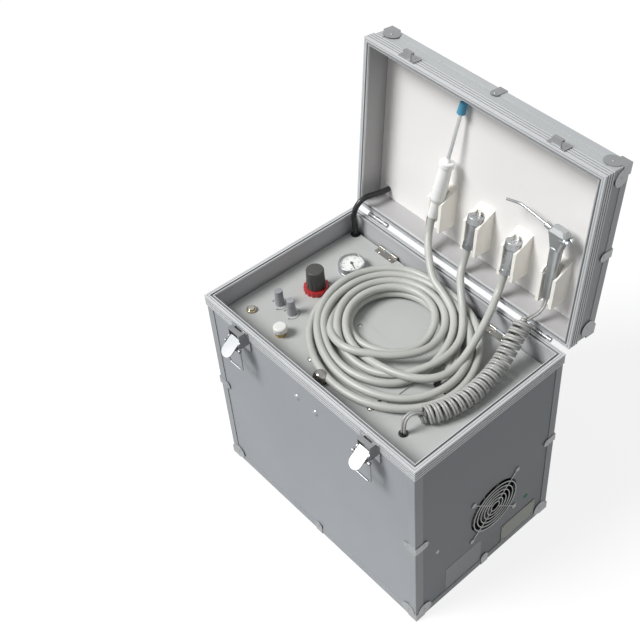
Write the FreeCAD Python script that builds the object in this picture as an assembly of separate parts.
"""Portable dental unit: an aluminium carrying case with a hinged lid, a lift-up control panel over an
oil-free compressor, and four instruments held in the lid.

Millimetres, +Z up, +X to the right along the long side, the front face towards -Y. The origin is the centre
of the underside of the floor board. The lid is modelled shut and then swung open about its hinge."""

import FreeCAD, Part
import os
from math import cos, pi, radians, sin, tan
from FreeCAD import Vector

# ---- casing ------------------------------------------------------------------------------------------------
CASE_LENGTH = 400.0
CASE_DEPTH = 262.0
BASE_HEIGHT = 332.0
LID_HEIGHT = 48.0
LID_OPEN_ANGLE = 96.0
BOARD = 5.0
RIM_PROUD = 1.8
RIM_FLANGE = 17.0
RIM_CAP = 3.0
RIM_WIDTH = 9.0
RIM_GROOVE_DEPTH = 0.8
RIM_GROOVE_HEIGHT = 1.6
RIM_GROOVE_DROPS = (5.0, 9.5, 14.0)
SEAL_WIDTH = 2.4
SEAL_DEPTH = 1.6
SEAL_INSET = 5.4
TONGUE_HEIGHT = 1.0
SEAL_CLEARANCE = 0.5
LID_GAP = 0.3
EDGE_LEG = 12.0
EDGE_SHEET = 1.0
EDGE_ROUND = 1.6
FOOT_RADIUS = 10.0
FOOT_HEIGHT = 6.0
FOOT_INSET = 34.0
FOOT_ROUND = 1.5
CORNER_SHEET = 1.0
CORNER_CENTRE = 15.0
CORNER_RADIUS = 12.0
RIVET_RADIUS = 2.4
RIVET_HEIGHT = 1.1
CLIP_WIDTH = 13.0
CLIP_REACH = 15.0
CLIP_MID_HEIGHT = 166.0
BOLT_SPACING = 36.0
BOLT_HEIGHT = 279.0
BOLT_HEAD_RADIUS = 4.6
BOLT_HEAD_HEIGHT = 3.0
BOLT_RADIUS = 2.5
BOLT_NUT_RADIUS = 4.2
BOLT_NUT_HEIGHT = 3.2
SHANK_CLEARANCE = 0.15

# ---- lid hinges and panel hinges ---------------------------------------------------------------------------
HINGE_LENGTH = 38.0
HINGE_FROM_END = 47.0
HINGE_LEAF = 1.5
HINGE_LEAF_HEIGHT = 15.0
HINGE_BARREL_RADIUS = 3.2
HINGE_AXIS_OUT = 4.2
HINGE_PIN_RADIUS = 1.5
PIN_CLEARANCE = 0.05
KNUCKLE_GAP = 0.3
LEAF_CLEARANCE = 2.3
PANEL_HINGE_LENGTH = 36.0
PANEL_HINGE_LEFT = 82.0
PANEL_HINGE_RIGHT = 102.0
PANEL_HINGE_LEAF = 1.3
PANEL_HINGE_REACH = 11.0
PANEL_HINGE_DROP = 16.0
PANEL_BARREL_RADIUS = 2.2
PANEL_LEAF_GAP = 0.4
PANEL_HINGE_SCREW = 10.8
PANEL_PIN_RADIUS = 1.0
SCREW_HEAD_RADIUS = 2.6
SCREW_HEAD_HEIGHT = 1.0

# ---- latches and handle ------------------------------------------------------------------------------------
LATCH_FROM_END = 76.0
LATCH_PLATE_WIDTH = 32.0
LATCH_PLATE_TOP = 5.0
LATCH_PLATE_HEIGHT = 34.0
LATCH_PLATE = 1.5
LATCH_SHELF_WIDTH = 24.0
LATCH_SHELF_OUT = 11.0
LATCH_SLOT_WIDTH = 14.0
LATCH_SLOT_DEPTH = 3.0
LATCH_AXIS_OUT = 10.3
LATCH_AXIS_DROP = 23.0
LATCH_PIN_RADIUS = 1.5
LEVER_HALF_WIDTH = 9.5
LEVER_LENGTH = 25.0
LEVER_PLATE = 1.6
LEVER_TIP_ROUND = 9.0
LEVER_STAND_OFF = 3.4
LEVER_TOP = 4.0
LEVER_CHEEK = 1.5
LEVER_CHEEK_IN = 2.0
LEVER_HUB_RADIUS = 3.9
LEVER_OPEN_ANGLE = 50.0
EAR_GAP = 0.5
EAR_SHEET = 1.6
EAR_RADIUS = 5.8
BAIL_OFFSET = 8.2
BAIL_PIN_RADIUS = 1.2
BAIL_WIRE_RADIUS = 1.4
BAIL_HALF_WIDTH = 14.4
BAIL_EYE_RADIUS = 2.6
BAIL_EYE_GAP = 0.4
BAIL_CORNER = 5.0
BAIL_SLACK = 0.3
KEEPER_WIDTH = 27.0
KEEPER_HEIGHT = 16.0
KEEPER_SHEET = 1.4
KEEPER_FROM_RIM = 1.0
KEEPER_TONGUE_WIDTH = 14.0
KEEPER_TONGUE_FROM_RIM = 3.0
KEEPER_TONGUE_OUT = 9.0
KEEPER_TONGUE_LIP = 3.4
KEEPER_SCREW_FROM_END = 4.5
HANDLE_HALF_SPACING = 62.0
HANDLE_AXIS_HEIGHT = 6.0
HANDLE_Y = 12.0
HANDLE_REACH = 40.0
HANDLE_BOW_WIDTH = 17.0
HANDLE_BOW_SHEET = 7.0
HANDLE_BOW_OUT = 11.0
HANDLE_BOW_ROUND = 22.0
HANDLE_BOW_HEIGHT = 9.6
HANDLE_BAR_DEPTH = 9.0
HANDLE_PIN_RADIUS = 2.0
HANDLE_EYE_RADIUS = 4.4
HANDLE_MOUNT_LENGTH = 40.0
HANDLE_MOUNT_DEPTH = 32.0
HANDLE_MOUNT_REAR = 7.0
HANDLE_MOUNT_SHEET = 1.6
HANDLE_EAR_SHEET = 5.0
GRIP_LENGTH = 90.0
GRIP_DEPTH = 23.0
GRIP_THICKNESS = 17.0
GRIP_ROUND = 5.0

# ---- control panel -----------------------------------------------------------------------------------------
PANEL_DEPTH = 33.0
PANEL_SHEET = 2.0
PANEL_ROUND = 3.0
PANEL_CLEARANCE = 1.2
PANEL_REAR_GAP = 4.2
PANEL_SIDE_GAP = 1.0
LEDGE_WIDTH = 10.0
LEDGE_SHEET = 3.0
LEDGE_FROM_REAR = 20.0
LEDGE_JOINT = 0.3
SEAT_GAP = 0.3
SWITCH_FROM_LEFT = 37.0
SWITCH_FROM_FRONT = 45.0
SWITCH_RADIUS = 7.0
SWITCH_HEIGHT = 3.0
BUTTON_RADIUS = 4.8
BUTTON_HEIGHT = 5.6
BUTTON_DEPTH = 14.0
SMALL_KNOB_FROM_LEFT = (54.0, 79.0)
SMALL_KNOB_FROM_FRONT = 79.5
SMALL_KNOB_RADIUS = 6.2
SMALL_KNOB_TOP_RADIUS = 5.4
SMALL_KNOB_HEIGHT = 25.0
SMALL_KNOB_SHAFT_RADIUS = 3.0
SMALL_KNOB_SHAFT = 10.0
SMALL_KNOB_FLUTES = 18
SMALL_KNOB_FLUTE_RADIUS = 0.45
SMALL_KNOB_FLUTE_UP = 3.0
VALVE_FROM_LEFT = 99.0
VALVE_FROM_FRONT = 45.0
VALVE_NUT_RADIUS = 7.5
VALVE_NUT_HEIGHT = 5.0
VALVE_COLLAR_RADIUS = 5.2
VALVE_COLLAR_TOP = 8.0
VALVE_STEM_RADIUS = 3.0
VALVE_STEM_DEPTH = 12.0
VALVE_CAP_RADIUS = 9.5
VALVE_CAP_HEIGHT = 8.0
VALVE_CAP_ROUND = 3.0
REGULATOR_FROM_LEFT = 66.5
REGULATOR_FROM_FRONT = 133.0
REGULATOR_RING_RADIUS = 17.5
REGULATOR_RING_HEIGHT = 7.0
REGULATOR_RING_LOBES = 16
REGULATOR_SCALLOP_RADIUS = 2.6
REGULATOR_SCALLOP_OUT = 1.4
REGULATOR_KNOB_RADIUS = 13.2
REGULATOR_KNOB_TOP_RADIUS = 12.2
REGULATOR_KNOB_HEIGHT = 30.0
REGULATOR_FLUTES = 12
REGULATOR_FLUTE_RADIUS = 1.6
REGULATOR_FLUTE_OUT = 0.6
REGULATOR_FLUTE_UP = 4.0
REGULATOR_BODY_RADIUS = 17.0
REGULATOR_BODY_DEPTH = 42.0
REGULATOR_NECK_RADIUS = 8.0
REGULATOR_NECK_UP = 7.5
REGULATOR_PORT_RADIUS = 5.5
REGULATOR_PORT_OUT = 8.0
GAUGE_FROM_LEFT = 69.0
GAUGE_FROM_FRONT = 195.0
GAUGE_RADIUS = 20.0
GAUGE_BEZEL_RADIUS = 18.6
GAUGE_HEIGHT = 12.4
GAUGE_BODY_DEPTH = 22.0
GAUGE_BODY_RADIUS = 17.0
GAUGE_RECESS = 3.6
GAUGE_FLANGE = 3.0
GAUGE_STEM = 10.0
GAUGE_STEM_RADIUS = 5.0
GAUGE_BEZEL_WALL = 2.0
NEEDLE_LENGTH = 13.0
NEEDLE_TAIL = 4.0
NEEDLE_WIDTH = 1.2
NEEDLE_THICKNESS = 0.5
NEEDLE_HUB_RADIUS = 2.2
NEEDLE_LIFT = 0.9
NEEDLE_POST_RADIUS = 0.85
NEEDLE_POST_DEPTH = 3.0
NEEDLE_ANGLE = -20.0
LIFT_KNOB_FROM_LEFT = 197.0
LIFT_KNOB_FROM_FRONT = 30.0
LIFT_KNOB_RADIUS = 9.8
LIFT_KNOB_HEIGHT = 18.0
LIFT_KNOB_BASE = 4.0
LIFT_SHAFT_RADIUS = 3.0
LIFT_CAM_LENGTH = 17.0
LIFT_CAM_SHEET = 2.5
LIFT_CAM_WIDTH = 10.0
DOME_SCREW_RADIUS = 5.0
DOME_SCREW_HEIGHT = 2.6
DOME_SCREW_FROM_LEFT = (160.0, 274.0)
DOME_SCREW_FROM_FRONT = 45.5
HATCH_LENGTH = 130.0
HATCH_DEPTH = 86.0
HATCH_SHEET = 1.5
HATCH_ROUND = 4.0
HATCH_FROM_LEFT = 152.0
HATCH_FROM_FRONT = 51.5
HATCH_SCREW_INSET = 8.0
HOSE_GROMMET_FROM_RIGHT = 84.0
HOSE_GROMMET_FROM_FRONT = 133.0
CORD_HOLE_FROM_RIGHT = 69.5
CORD_HOLE_FROM_FRONT = 47.0
LID_CABLE_FROM_LEFT = 18.5
LID_CABLE_FROM_REAR = 16.0
GROMMET_LIP = 2.0
GROMMET_SHEET = 1.0

# ---- lid lining and instruments ----------------------------------------------------------------------------
LINER_DEPTH = 38.0
LINER_CLEARANCE = 0.4
LINER_SCREW_FROM_END = 14.0
LINER_SCREW_FROM_EDGE = 20.0
HOLDER_PITCH = 67.0
HOLDER_CENTRE = 42.5
HOLDER_OUTER = 27.0
HOLDER_GAP = 17.0
HOLDER_REACH = 30.0
HOLDER_LOW = 32.0
HOLDER_FRONT_TOP = 79.0
HOLDER_WALL_TOP = 96.0
HOLDER_WEB = 9.5
INSTRUMENT_RADIUS = 8.0
INSTRUMENT_SEAT = 77.0
SEAT_CLEARANCE = 0.3
COUPLING_HEAD_RADIUS = 11.0
COUPLING_HEAD_LENGTH = 12.0
COUPLING_SHOULDER = 2.5
COUPLING_BODY_RADIUS = 7.4
COUPLING_COLLAR = 7.0
COUPLING_TAIL = 36.0
COUPLING_PORT_RADII = (1.2, 1.2, 0.8, 0.8)
COUPLING_PORT_CIRCLE = 3.6
COUPLING_PORT_DEPTH = 6.0
COUPLING_KEY = (2.4, 2.0, 5.0)
COUPLING_KEY_INSET = 2.0
SCALER_TAIL = 24.0
SCALER_FLARE_LENGTH = 6.0
SCALER_BARREL_TAPER = 1.4
SCALER_RING_LENGTH = 9.0
SCALER_RING_ROUND = 2.0
SCALER_STEP = 0.6
SCALER_BARREL_LENGTH = 64.0
SCALER_NOSE_LENGTH = 5.0
SCALER_NECK_RADIUS = 2.6
SCALER_NECK_TAPER = 0.4
SCALER_NECK_LENGTH = 72.0
SCALER_TIP_RADIUS = 1.3
SCALER_TIP_LENGTH = 9.0
SCALER_POINT_RADIUS = 0.5
SCALER_COLLAR_LENGTH = 3.0
SCALER_COLLAR_PROUD = 0.7
CAP_RADIUS = 6.0
CAP_BORE_RADIUS = 2.4
CAP_WALL = 2.0
CAP_LAP = 4.0
CAP_LENGTH = 16.0
SYRINGE_TAIL = 34.0
SYRINGE_GRIP = 45.0
SYRINGE_HEAD = (28.0, 27.0, 17.0)
SYRINGE_HEAD_FOOT = (15.5, 14.5)
SYRINGE_HEAD_CREST = (20.0, 11.0)
SYRINGE_HEAD_CORNER = 2.5
SYRINGE_SHOULDER = 6.0
SYRINGE_BOSS_WALL = 1.4
SYRINGE_BOSS_ROOT = 5.0
SYRINGE_BUTTON_RISE = 16.0
SYRINGE_BUTTON_SPACING = 8.4
SYRINGE_BUTTON_RADIUS = 3.0
SYRINGE_BUTTON_HEIGHT = 4.5
SYRINGE_BUTTON_TRAVEL = 2.2
SYRINGE_NOZZLE_RISE = 20.0
NOZZLE_RADIUS = 1.8
NOZZLE_SEAT = 5.0
NOZZLE_RUN = 44.0
NOZZLE_TIP = 24.0
NOZZLE_BEND = 22.0
NOZZLE_TILT = 8.0
NOZZLE_NUT_RADIUS = 4.2
NOZZLE_NUT_LENGTH = 7.0

# ---- hoses and cords ---------------------------------------------------------------------------------------
HOSE_DIAMETER = 10.5
CORD_TUBE_DIAMETER = 6.5
CURL_DIAMETER = 26.0
CABLE_DIAMETER = 8.0
HOSE_LAST_RUN = 18.0
CORD_LAST_RUN = 12.0
LID_CABLE_LAST_RUN = 18.0
LID_CABLE_INLET = (25.5, 21.0)
COIL_HEIGHT = 25.0
COIL_CENTRE = (15.0, 11.0)
COIL_SEMI_AXES = (116.0, 100.0)
COIL_TURN = -24.0
COIL_EYE_CENTRE = (-9.0, 27.0)
COIL_EYE_RADIUS = 50.0
COIL_ROUND = 6.0

# ---- fan, compressor and the rest of the inside ------------------------------------------------------------
FAN_SIZE = 92.0
FAN_THICKNESS = 25.0
FAN_HOLE_PITCH = 82.5
FAN_HOLE_RADIUS = 2.2
FAN_BORE_RADIUS = 43.0
FAN_Y = 15.0
FAN_HEIGHT = 120.0
FAN_HUB_RADIUS = 18.0
FAN_HUB_LENGTH = 20.0
FAN_BLADE_REACH = 41.0
FAN_CORNER_ROUND = 4.0
FAN_PLATE = 3.0
FAN_STRUT_HALF = 2.0
FAN_SHAFT_RADIUS = 2.0
FAN_BLADE_SHEET = 1.6
FAN_BLADE_PITCH = 38.0
FAN_BLADES = 7
FAN_WINDOW_RADIUS = 44.0
GUARD_WIRE = 1.0
GUARD_RINGS = (8.0, 14.5, 21.0, 27.5, 34.0, 40.5)
GUARD_EYE_RADIUS = 4.2
GUARD_EYE_SHEET = 1.6
GUARD_LIFT = 0.2
GUARD_RING_LIFT = 0.7
GUARD_HEAD_RADIUS = 3.4
GUARD_HEAD_HEIGHT = 1.8
COMPRESSOR_X = -92.0
COMPRESSOR_Y = -62.0
MOTOR_RADIUS = 44.0
MOTOR_LENGTH = 92.0
CASTING_WALL = 3.0
CRANKCASE_LENGTH = 34.0
CRANKCASE_RADIUS = 36.0
CYLINDER_RADIUS = 18.0
CYLINDER_FOOT = 31.0
CYLINDER_HEIGHT = 34.0
CYLINDER_FINS = 5
CYLINDER_FIN_PITCH = 6.0
CYLINDER_FIN_SHEET = 2.0
CYLINDER_FIN_REACH = 25.0
HEAD_HEIGHT = 14.0
ROTOR_RADIUS = 28.0
ROTOR_END_GAP = 14.0
SHAFT_RADIUS = 5.0
CRANK_RADIUS = 10.0
CRANK_THROW = 4.0
CRANK_LENGTH = 12.0
PISTON_RADIUS = 13.0
PISTON_HEIGHT = 8.0
PISTON_CLEARANCE = 0.08
PISTON_HEAD_GAP = 6.0
PISTON_ROD_GAP = 6.0
PISTON_ROD_WIDTH = 8.0
COOLING_FAN_RADIUS = 30.0
COOLING_FAN_LENGTH = 5.0
COOLING_HUB_RADIUS = 9.0
COOLING_VANES = 6
COOLING_VANE_HALF = 1.0
MOUNT_RADIUS = 7.0
MOUNT_HEIGHT = 14.0
MOUNT_REACH = Vector(33, 26, 0)
CRADLE_SHEET = 3.0
CRADLE_HEIGHT = 20.0
CRADLE_HALF_WIDTH = 7.0
CRADLE_HALF_DEPTH = 34.0
TANK_RADIUS = 42.0
TANK_SHORTER = 190.0
TANK_FROM_REAR = 65.0
TANK_LENGTH = CASE_LENGTH - TANK_SHORTER
TANK_X = -70.0
TANK_Y = CASE_DEPTH / 2 - TANK_FROM_REAR
TANK_SADDLE = 6.0
TANK_WALL = 3.0
TANK_END_ROUND = 14.0
TANK_SADDLE_REACH = 30.0
TANK_SADDLE_PLACE = 0.6
TANK_SADDLE_RISE = 0.75
TANK_SADDLE_HALF = 8.0
TANK_PORT_SINK = 4.0
TANK_PORT_REACH = 40.0
TANK_PORT_RADIUS = 7.0
TANK_PORT_LENGTH = 14.0
BOTTLE_RADIUS = 38.0
BOTTLE_HEIGHT = 150.0
BOTTLE_WALL = 2.5
BOTTLE_X = 95.0
BOTTLE_Y = -62.0
BOTTLE_SHOULDER = 16.0
BOTTLE_NECK_RADIUS = 20.0
BOTTLE_NECK_HEIGHT = 14.0
BOTTLE_FOOT_ROUND = 5.0
BOTTLE_CAP_RADIUS = 23.5
BOTTLE_CAP_SHEET = 6.0
BOTTLE_BARB = 13.0
DIP_TUBE_RADIUS = 3.0
DIP_TUBE_LIFT = 14.0
DRIVER = (72.0, 58.0, 50.0)
DRIVER_WINDING_PROUD = 12.0
DRIVER_WINDING_INSET = 6.0
DRIVER_WINDING_ROUND = 4.0
DRIVER_FROM_SIDE = 108.0
DRIVER_X = CASE_LENGTH / 2 - DRIVER_FROM_SIDE
DRIVER_FROM_REAR = 55.0
DRIVER_Y = CASE_DEPTH / 2 - DRIVER_FROM_REAR
MANIFOLD = (110.0, 26.0, 24.0)
MANIFOLD_X = -60.0
MANIFOLD_HEIGHT = 190.0
SOLENOID_RADIUS = 11.0
SOLENOID_HEIGHT = 34.0
SOLENOID_PITCH = 30.0
MANIFOLD_PORT = 8.0
MANIFOLD_PORT_RADIUS = 4.0
WATER_TRAP_RADIUS = 12.0
WATER_TRAP_HEIGHT = 40.0
INLET = (50.0, 60.0, 2.5)
INLET_FROM_RIGHT = 75.0
INLET_HEIGHT = 150.0
INLET_SOCKET = (25.0, 17.0, 18.0)
INLET_BODY = (30.0, 50.0, 28.0)
INLET_SOCKET_UP = 5.0
INLET_BLADE = (2.0, 4.0, 9.0)
INLET_BLADE_PLACES = ((-7, 4), (0, 8), (7, 4))
INLET_SCREW_INSET = 4.0
INLET_SCREW_RADIUS = 2.2
PEDAL_SOCKET_RADIUS = 7.0
PEDAL_SOCKET_DEPTH = 8.0
PEDAL_SOCKET_DROP = 15.0
NAMEPLATE = (68.0, 36.0, 1.0)
NAMEPLATE_Y = 68.0
NAMEPLATE_LIFT = 1.0
PLATE_SCREW_INSET = 4.0
PLATE_SCREW_RADIUS = 1.8
PLATE_SCREW_HEIGHT = 0.8

# ---- sizes that follow -------------------------------------------------------------------------------------
HALF_X, HALF_Y = CASE_LENGTH / 2, CASE_DEPTH / 2
OUT_X, OUT_Y = HALF_X - RIM_PROUD, HALF_Y - RIM_PROUD
IN_X, IN_Y = OUT_X - BOARD, OUT_Y - BOARD
PANEL_TOP = BASE_HEIGHT - PANEL_DEPTH
PANEL_UNDER = PANEL_TOP - PANEL_SHEET
LID_BASE = BASE_HEIGHT + LID_GAP
LID_TOP = LID_BASE + LID_HEIGHT
HINGE = Vector(0, HALF_Y + HINGE_AXIS_OUT, BASE_HEIGHT)
PANEL_HINGE_CENTRES = (PANEL_HINGE_LEFT - HALF_X, HALF_X - PANEL_HINGE_RIGHT)
PANEL_HINGE = Vector(0, IN_Y - PANEL_BARREL_RADIUS - 0.5, PANEL_TOP + PANEL_BARREL_RADIUS)
LATCH_X = HALF_X - LATCH_FROM_END
LATCH_AXIS = Vector(0, -OUT_Y - LATCH_AXIS_OUT, BASE_HEIGHT - LATCH_AXIS_DROP)
LEVER_SWING = radians(LEVER_OPEN_ANGLE)
BAIL_AXIS = LATCH_AXIS + Vector(0, -BAIL_OFFSET * sin(LEVER_SWING), -BAIL_OFFSET * cos(LEVER_SWING))
HOOK_SEAT = LID_BASE + KEEPER_TONGUE_FROM_RIM + KEEPER_SHEET + BAIL_WIRE_RADIUS
BAIL_LENGTH = HOOK_SEAT + BAIL_SLACK - (LATCH_AXIS.z - BAIL_OFFSET)
HANDLE_AXIS = Vector(0, HANDLE_Y, LID_TOP + HANDLE_AXIS_HEIGHT)
MOTOR_AXIS_HEIGHT = BOARD + MOUNT_HEIGHT + CRADLE_SHEET + MOTOR_RADIUS
CRANKCASE_ROOM = CRANKCASE_LENGTH - 2 * CASTING_WALL
LID_HINGE_CENTRES = (HINGE_FROM_END - HALF_X, HALF_X - HINGE_FROM_END)
CRANKCASE_HALF = MOTOR_LENGTH / 2 + CRANKCASE_LENGTH

X, Y, Z = Vector(1, 0, 0), Vector(0, 1, 0), Vector(0, 0, 1)
CORNERS = ((-1, -1, 0), (1, -1, 90), (1, 1, 180), (-1, 1, 270))
PANEL_RIGHT = HALF_X - RIM_WIDTH - PANEL_SIDE_GAP
PANEL_LEFT = -PANEL_RIGHT
PANEL_FRONT = -(IN_Y - PANEL_CLEARANCE)
PANEL_REAR = IN_Y - PANEL_REAR_GAP


# ---- small builders ----------------------------------------------------------------------------------------
def block(x0, x1, y0, y1, z0, z1):
    """A box from its low corner to its high corner."""
    return Part.makeBox(x1 - x0, y1 - y0, z1 - z0, Vector(x0, y0, z0))


def rod(centre, axis, radius, length):
    """A cylinder that starts at centre and runs along axis."""
    return Part.makeCylinder(radius, length, Vector(*centre), axis)


def cone(centre, axis, low_radius, high_radius, length):
    """A truncated cone that starts at centre and runs along axis."""
    return Part.makeCone(low_radius, high_radius, length, Vector(*centre), axis)


def joined(shapes):
    """One solid from pieces that overlap or share a face."""
    whole = shapes[0]
    if len(shapes) > 1:
        whole = whole.fuse(shapes[1:])
    return whole.removeSplitter()


def group(shapes):
    """Separate solids kept in one node."""
    return Part.makeCompound(shapes)


def frame_ring(half_x, half_y, z0, z1, wall):
    """A rectangular ring: a box with its middle taken out."""
    outside = block(-half_x, half_x, -half_y, half_y, z0, z1)
    inside = block(-half_x + wall, half_x - wall, -half_y + wall, half_y - wall, z0 - 1, z1 + 1)
    return outside.cut(inside)


def outer_edges(shape, test):
    """The edges of a shape whose centre passes a test."""
    return [edge for edge in shape.Edges if test(edge.CenterOfMass)]


def rounded(shape, radius, test):
    """The shape with the edges that pass the test filleted."""
    return shape.makeFillet(radius, outer_edges(shape, test))


def turned(shape, centre, axis, angle):
    """A copy of the shape turned about an axis."""
    copy = shape.copy()
    copy.rotate(Vector(*centre), axis, angle)
    return copy


def opened(shape):
    """A lid piece, modelled shut, swung to where the open lid holds it."""
    return turned(shape, HINGE, X, -LID_OPEN_ANGLE)


def in_lid(x, up, depth):
    """A point in the shut lid: up is the distance from its hinge edge, depth the distance in from its rim."""
    return Vector(x, HALF_Y - up, LID_BASE + depth)


def dome(centre, axis, radius, height):
    """A low round head, flat underneath."""
    ball_radius = (radius**2 + height**2) / (2 * height)
    ball = Part.makeSphere(ball_radius, Vector(*centre) - axis * (ball_radius - height))
    return ball.common(rod(centre, axis, radius + 1, height + 1))


def path_tube(points, diameter):
    """A round tube along straight runs joined by tangent arcs, each as large as its two runs allow."""
    corners = [Vector(*point) for point in points]
    edges, radii, start, length = [], [], corners[0], 0.0
    for before, corner, after in zip(corners, corners[1:], corners[2:]):
        into, out = corner - before, after - corner
        reach = 0.45 * min(into.Length, out.Length)
        into.normalize()
        out.normalize()
        turn = into.getAngle(out)
        radius = reach / tan(turn / 2)
        first, last = corner - into * reach, corner + out * reach
        middle_way = (out - into).normalize()
        middle = corner + middle_way * (radius / cos(turn / 2) - radius)
        edges.append(Part.LineSegment(start, first).toShape())
        edges.append(Part.Arc(first, middle, last).toShape())
        length += (first - start).Length + radius * turn
        radii.append(round(radius, 1))
        start = last
    edges.append(Part.LineSegment(start, corners[-1]).toShape())
    length += (corners[-1] - start).Length
    first_way = (corners[1] - corners[0]).normalize()
    ring = Part.Wire(Part.makeCircle(diameter / 2, corners[0], first_way))
    tube = Part.Wire(edges).makePipeShell([ring], True, True)
    share = tube.Volume / (pi * diameter**2 / 4 * length)
    print("tube", diameter, "length", round(length, 1), "radii", radii, "volume share", round(share, 4))
    return tube


def panel_spot(from_left, from_front):
    """A point on the top of the panel, from the outside of the case's left and front faces."""
    return Vector(from_left - HALF_X, from_front - HALF_Y, PANEL_TOP)


SWITCH = panel_spot(SWITCH_FROM_LEFT, SWITCH_FROM_FRONT)
SMALL_KNOBS = [panel_spot(place, SMALL_KNOB_FROM_FRONT) for place in SMALL_KNOB_FROM_LEFT]
VALVE = panel_spot(VALVE_FROM_LEFT, VALVE_FROM_FRONT)
REGULATOR = panel_spot(REGULATOR_FROM_LEFT, REGULATOR_FROM_FRONT)
GAUGE = panel_spot(GAUGE_FROM_LEFT, GAUGE_FROM_FRONT)
LIFT_KNOB = panel_spot(LIFT_KNOB_FROM_LEFT, LIFT_KNOB_FROM_FRONT)
HOSE_GROMMET = panel_spot(CASE_LENGTH - HOSE_GROMMET_FROM_RIGHT, HOSE_GROMMET_FROM_FRONT)
CORD_HOLE = panel_spot(CASE_LENGTH - CORD_HOLE_FROM_RIGHT, CORD_HOLE_FROM_FRONT)
LID_CABLE_HOLE = panel_spot(LID_CABLE_FROM_LEFT, CASE_DEPTH - LID_CABLE_FROM_REAR)
DOME_SCREWS = [panel_spot(place, DOME_SCREW_FROM_FRONT) for place in DOME_SCREW_FROM_LEFT]


# ---- casing ------------------------------------------------------------------------------------------------
def fan_centre(x):
    return Vector(x, FAN_Y, FAN_HEIGHT)


def inlet_centre(y):
    return Vector(HALF_X - INLET_FROM_RIGHT, y, INLET_HEIGHT)


def bolt_places():
    return [Vector(side * BOLT_SPACING / 2, -OUT_Y, BOLT_HEIGHT) for side in (-1, 1)]


def case_boards():
    top = BASE_HEIGHT - RIM_CAP
    floor = block(-OUT_X, OUT_X, -OUT_Y, OUT_Y, 0, BOARD)
    front = block(-OUT_X, OUT_X, -OUT_Y, -IN_Y, BOARD, top)
    rear = block(-OUT_X, OUT_X, IN_Y, OUT_Y, BOARD, top)
    left = block(-OUT_X, -IN_X, -IN_Y, IN_Y, BOARD, top)
    right = block(IN_X, OUT_X, -IN_Y, IN_Y, BOARD, top)
    for place in bolt_places():
        front = front.cut(rod(place, Y, BOLT_RADIUS + SHANK_CLEARANCE, BOARD))
    right = right.cut(rod(fan_centre(IN_X), X, FAN_WINDOW_RADIUS, BOARD))
    for dy, dz in fan_hole_offsets():
        right = right.cut(rod(fan_centre(IN_X) + Vector(0, dy, dz), X, FAN_HOLE_RADIUS, BOARD))
    half_width, half_height = INLET_BODY[0] / 2 + SHANK_CLEARANCE, INLET_BODY[1] / 2 + SHANK_CLEARANCE
    x, z = inlet_centre(0).x, inlet_centre(0).z
    window = block(x - half_width, x + half_width, IN_Y, OUT_Y, z - half_height, z + half_height)
    return group([floor, front, rear.cut(window), left, right])


def rim_profile(top, under, cap_from, cap_to, groove_levels):
    """The cap and flange of a rim extrusion, with the flange's long grooves cut in."""
    cap = frame_ring(HALF_X, HALF_Y, cap_from, cap_to, RIM_WIDTH)
    rim = joined([cap, frame_ring(HALF_X, HALF_Y, under, top, RIM_PROUD)])
    half = RIM_GROOVE_HEIGHT / 2
    for level in groove_levels:
        rim = rim.cut(frame_ring(HALF_X + 1, HALF_Y + 1, level - half, level + half, 1 + RIM_GROOVE_DEPTH))
    return rim


def base_rim():
    levels = [BASE_HEIGHT - drop for drop in RIM_GROOVE_DROPS]
    rim = rim_profile(BASE_HEIGHT, BASE_HEIGHT - RIM_FLANGE, BASE_HEIGHT - RIM_CAP, BASE_HEIGHT, levels)
    half_x, half_y = HALF_X - SEAL_INSET, HALF_Y - SEAL_INSET
    return rim.cut(frame_ring(half_x, half_y, BASE_HEIGHT - SEAL_DEPTH, BASE_HEIGHT + 1, SEAL_WIDTH))


def upright_angle(corner_x, corner_y, z0, z1):
    """A vertical angle extrusion over one corner of the boards, with a rounded outer edge."""
    sx, sy = (1 if corner_x > 0 else -1), (1 if corner_y > 0 else -1)
    far_x, far_y = corner_x + sx * EDGE_SHEET, corner_y + sy * EDGE_SHEET
    near_x, near_y = corner_x - sx * EDGE_LEG, corner_y - sy * EDGE_LEG
    outside = block(min(far_x, near_x), max(far_x, near_x), min(far_y, near_y), max(far_y, near_y), z0, z1)
    outside = rounded(outside, EDGE_ROUND, lambda c: abs(c.x - far_x) + abs(c.y - far_y) < 0.01)
    inside = block(-OUT_X, OUT_X, -OUT_Y, OUT_Y, z0 - 1, z1 + 1)
    return outside.cut(inside)


def edge_tray(z_face, way):
    """The angle extrusions round a flat end of a box: legs round its sides and strips over its face."""
    z_far, z_leg = z_face + way * EDGE_SHEET, z_face - way * EDGE_LEG
    low, high = min(z_far, z_leg), max(z_far, z_leg)
    half_x, half_y = OUT_X + EDGE_SHEET, OUT_Y + EDGE_SHEET
    outside = block(-half_x, half_x, -half_y, half_y, low, high)
    outside = rounded(
        outside,
        EDGE_ROUND,
        lambda c: abs(c.z - z_far) < 0.01
        or (abs(abs(c.x) - half_x) < 0.01 and abs(abs(c.y) - half_y) < 0.01),
    )
    past_leg = z_leg - way
    boards = block(-OUT_X, OUT_X, -OUT_Y, OUT_Y, min(z_face, past_leg), max(z_face, past_leg))
    reach_x, reach_y = OUT_X - EDGE_LEG, OUT_Y - EDGE_LEG
    middle = block(-reach_x, reach_x, -reach_y, reach_y, low - 1, high + 1)
    return outside.cut(boards).cut(middle)


def base_edges():
    tray = edge_tray(0, -1)
    uprights = [
        upright_angle(sx * OUT_X, sy * OUT_Y, EDGE_LEG, BASE_HEIGHT - RIM_FLANGE)
        for sx in (-1, 1)
        for sy in (-1, 1)
    ]
    return group([tray] + uprights)


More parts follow.
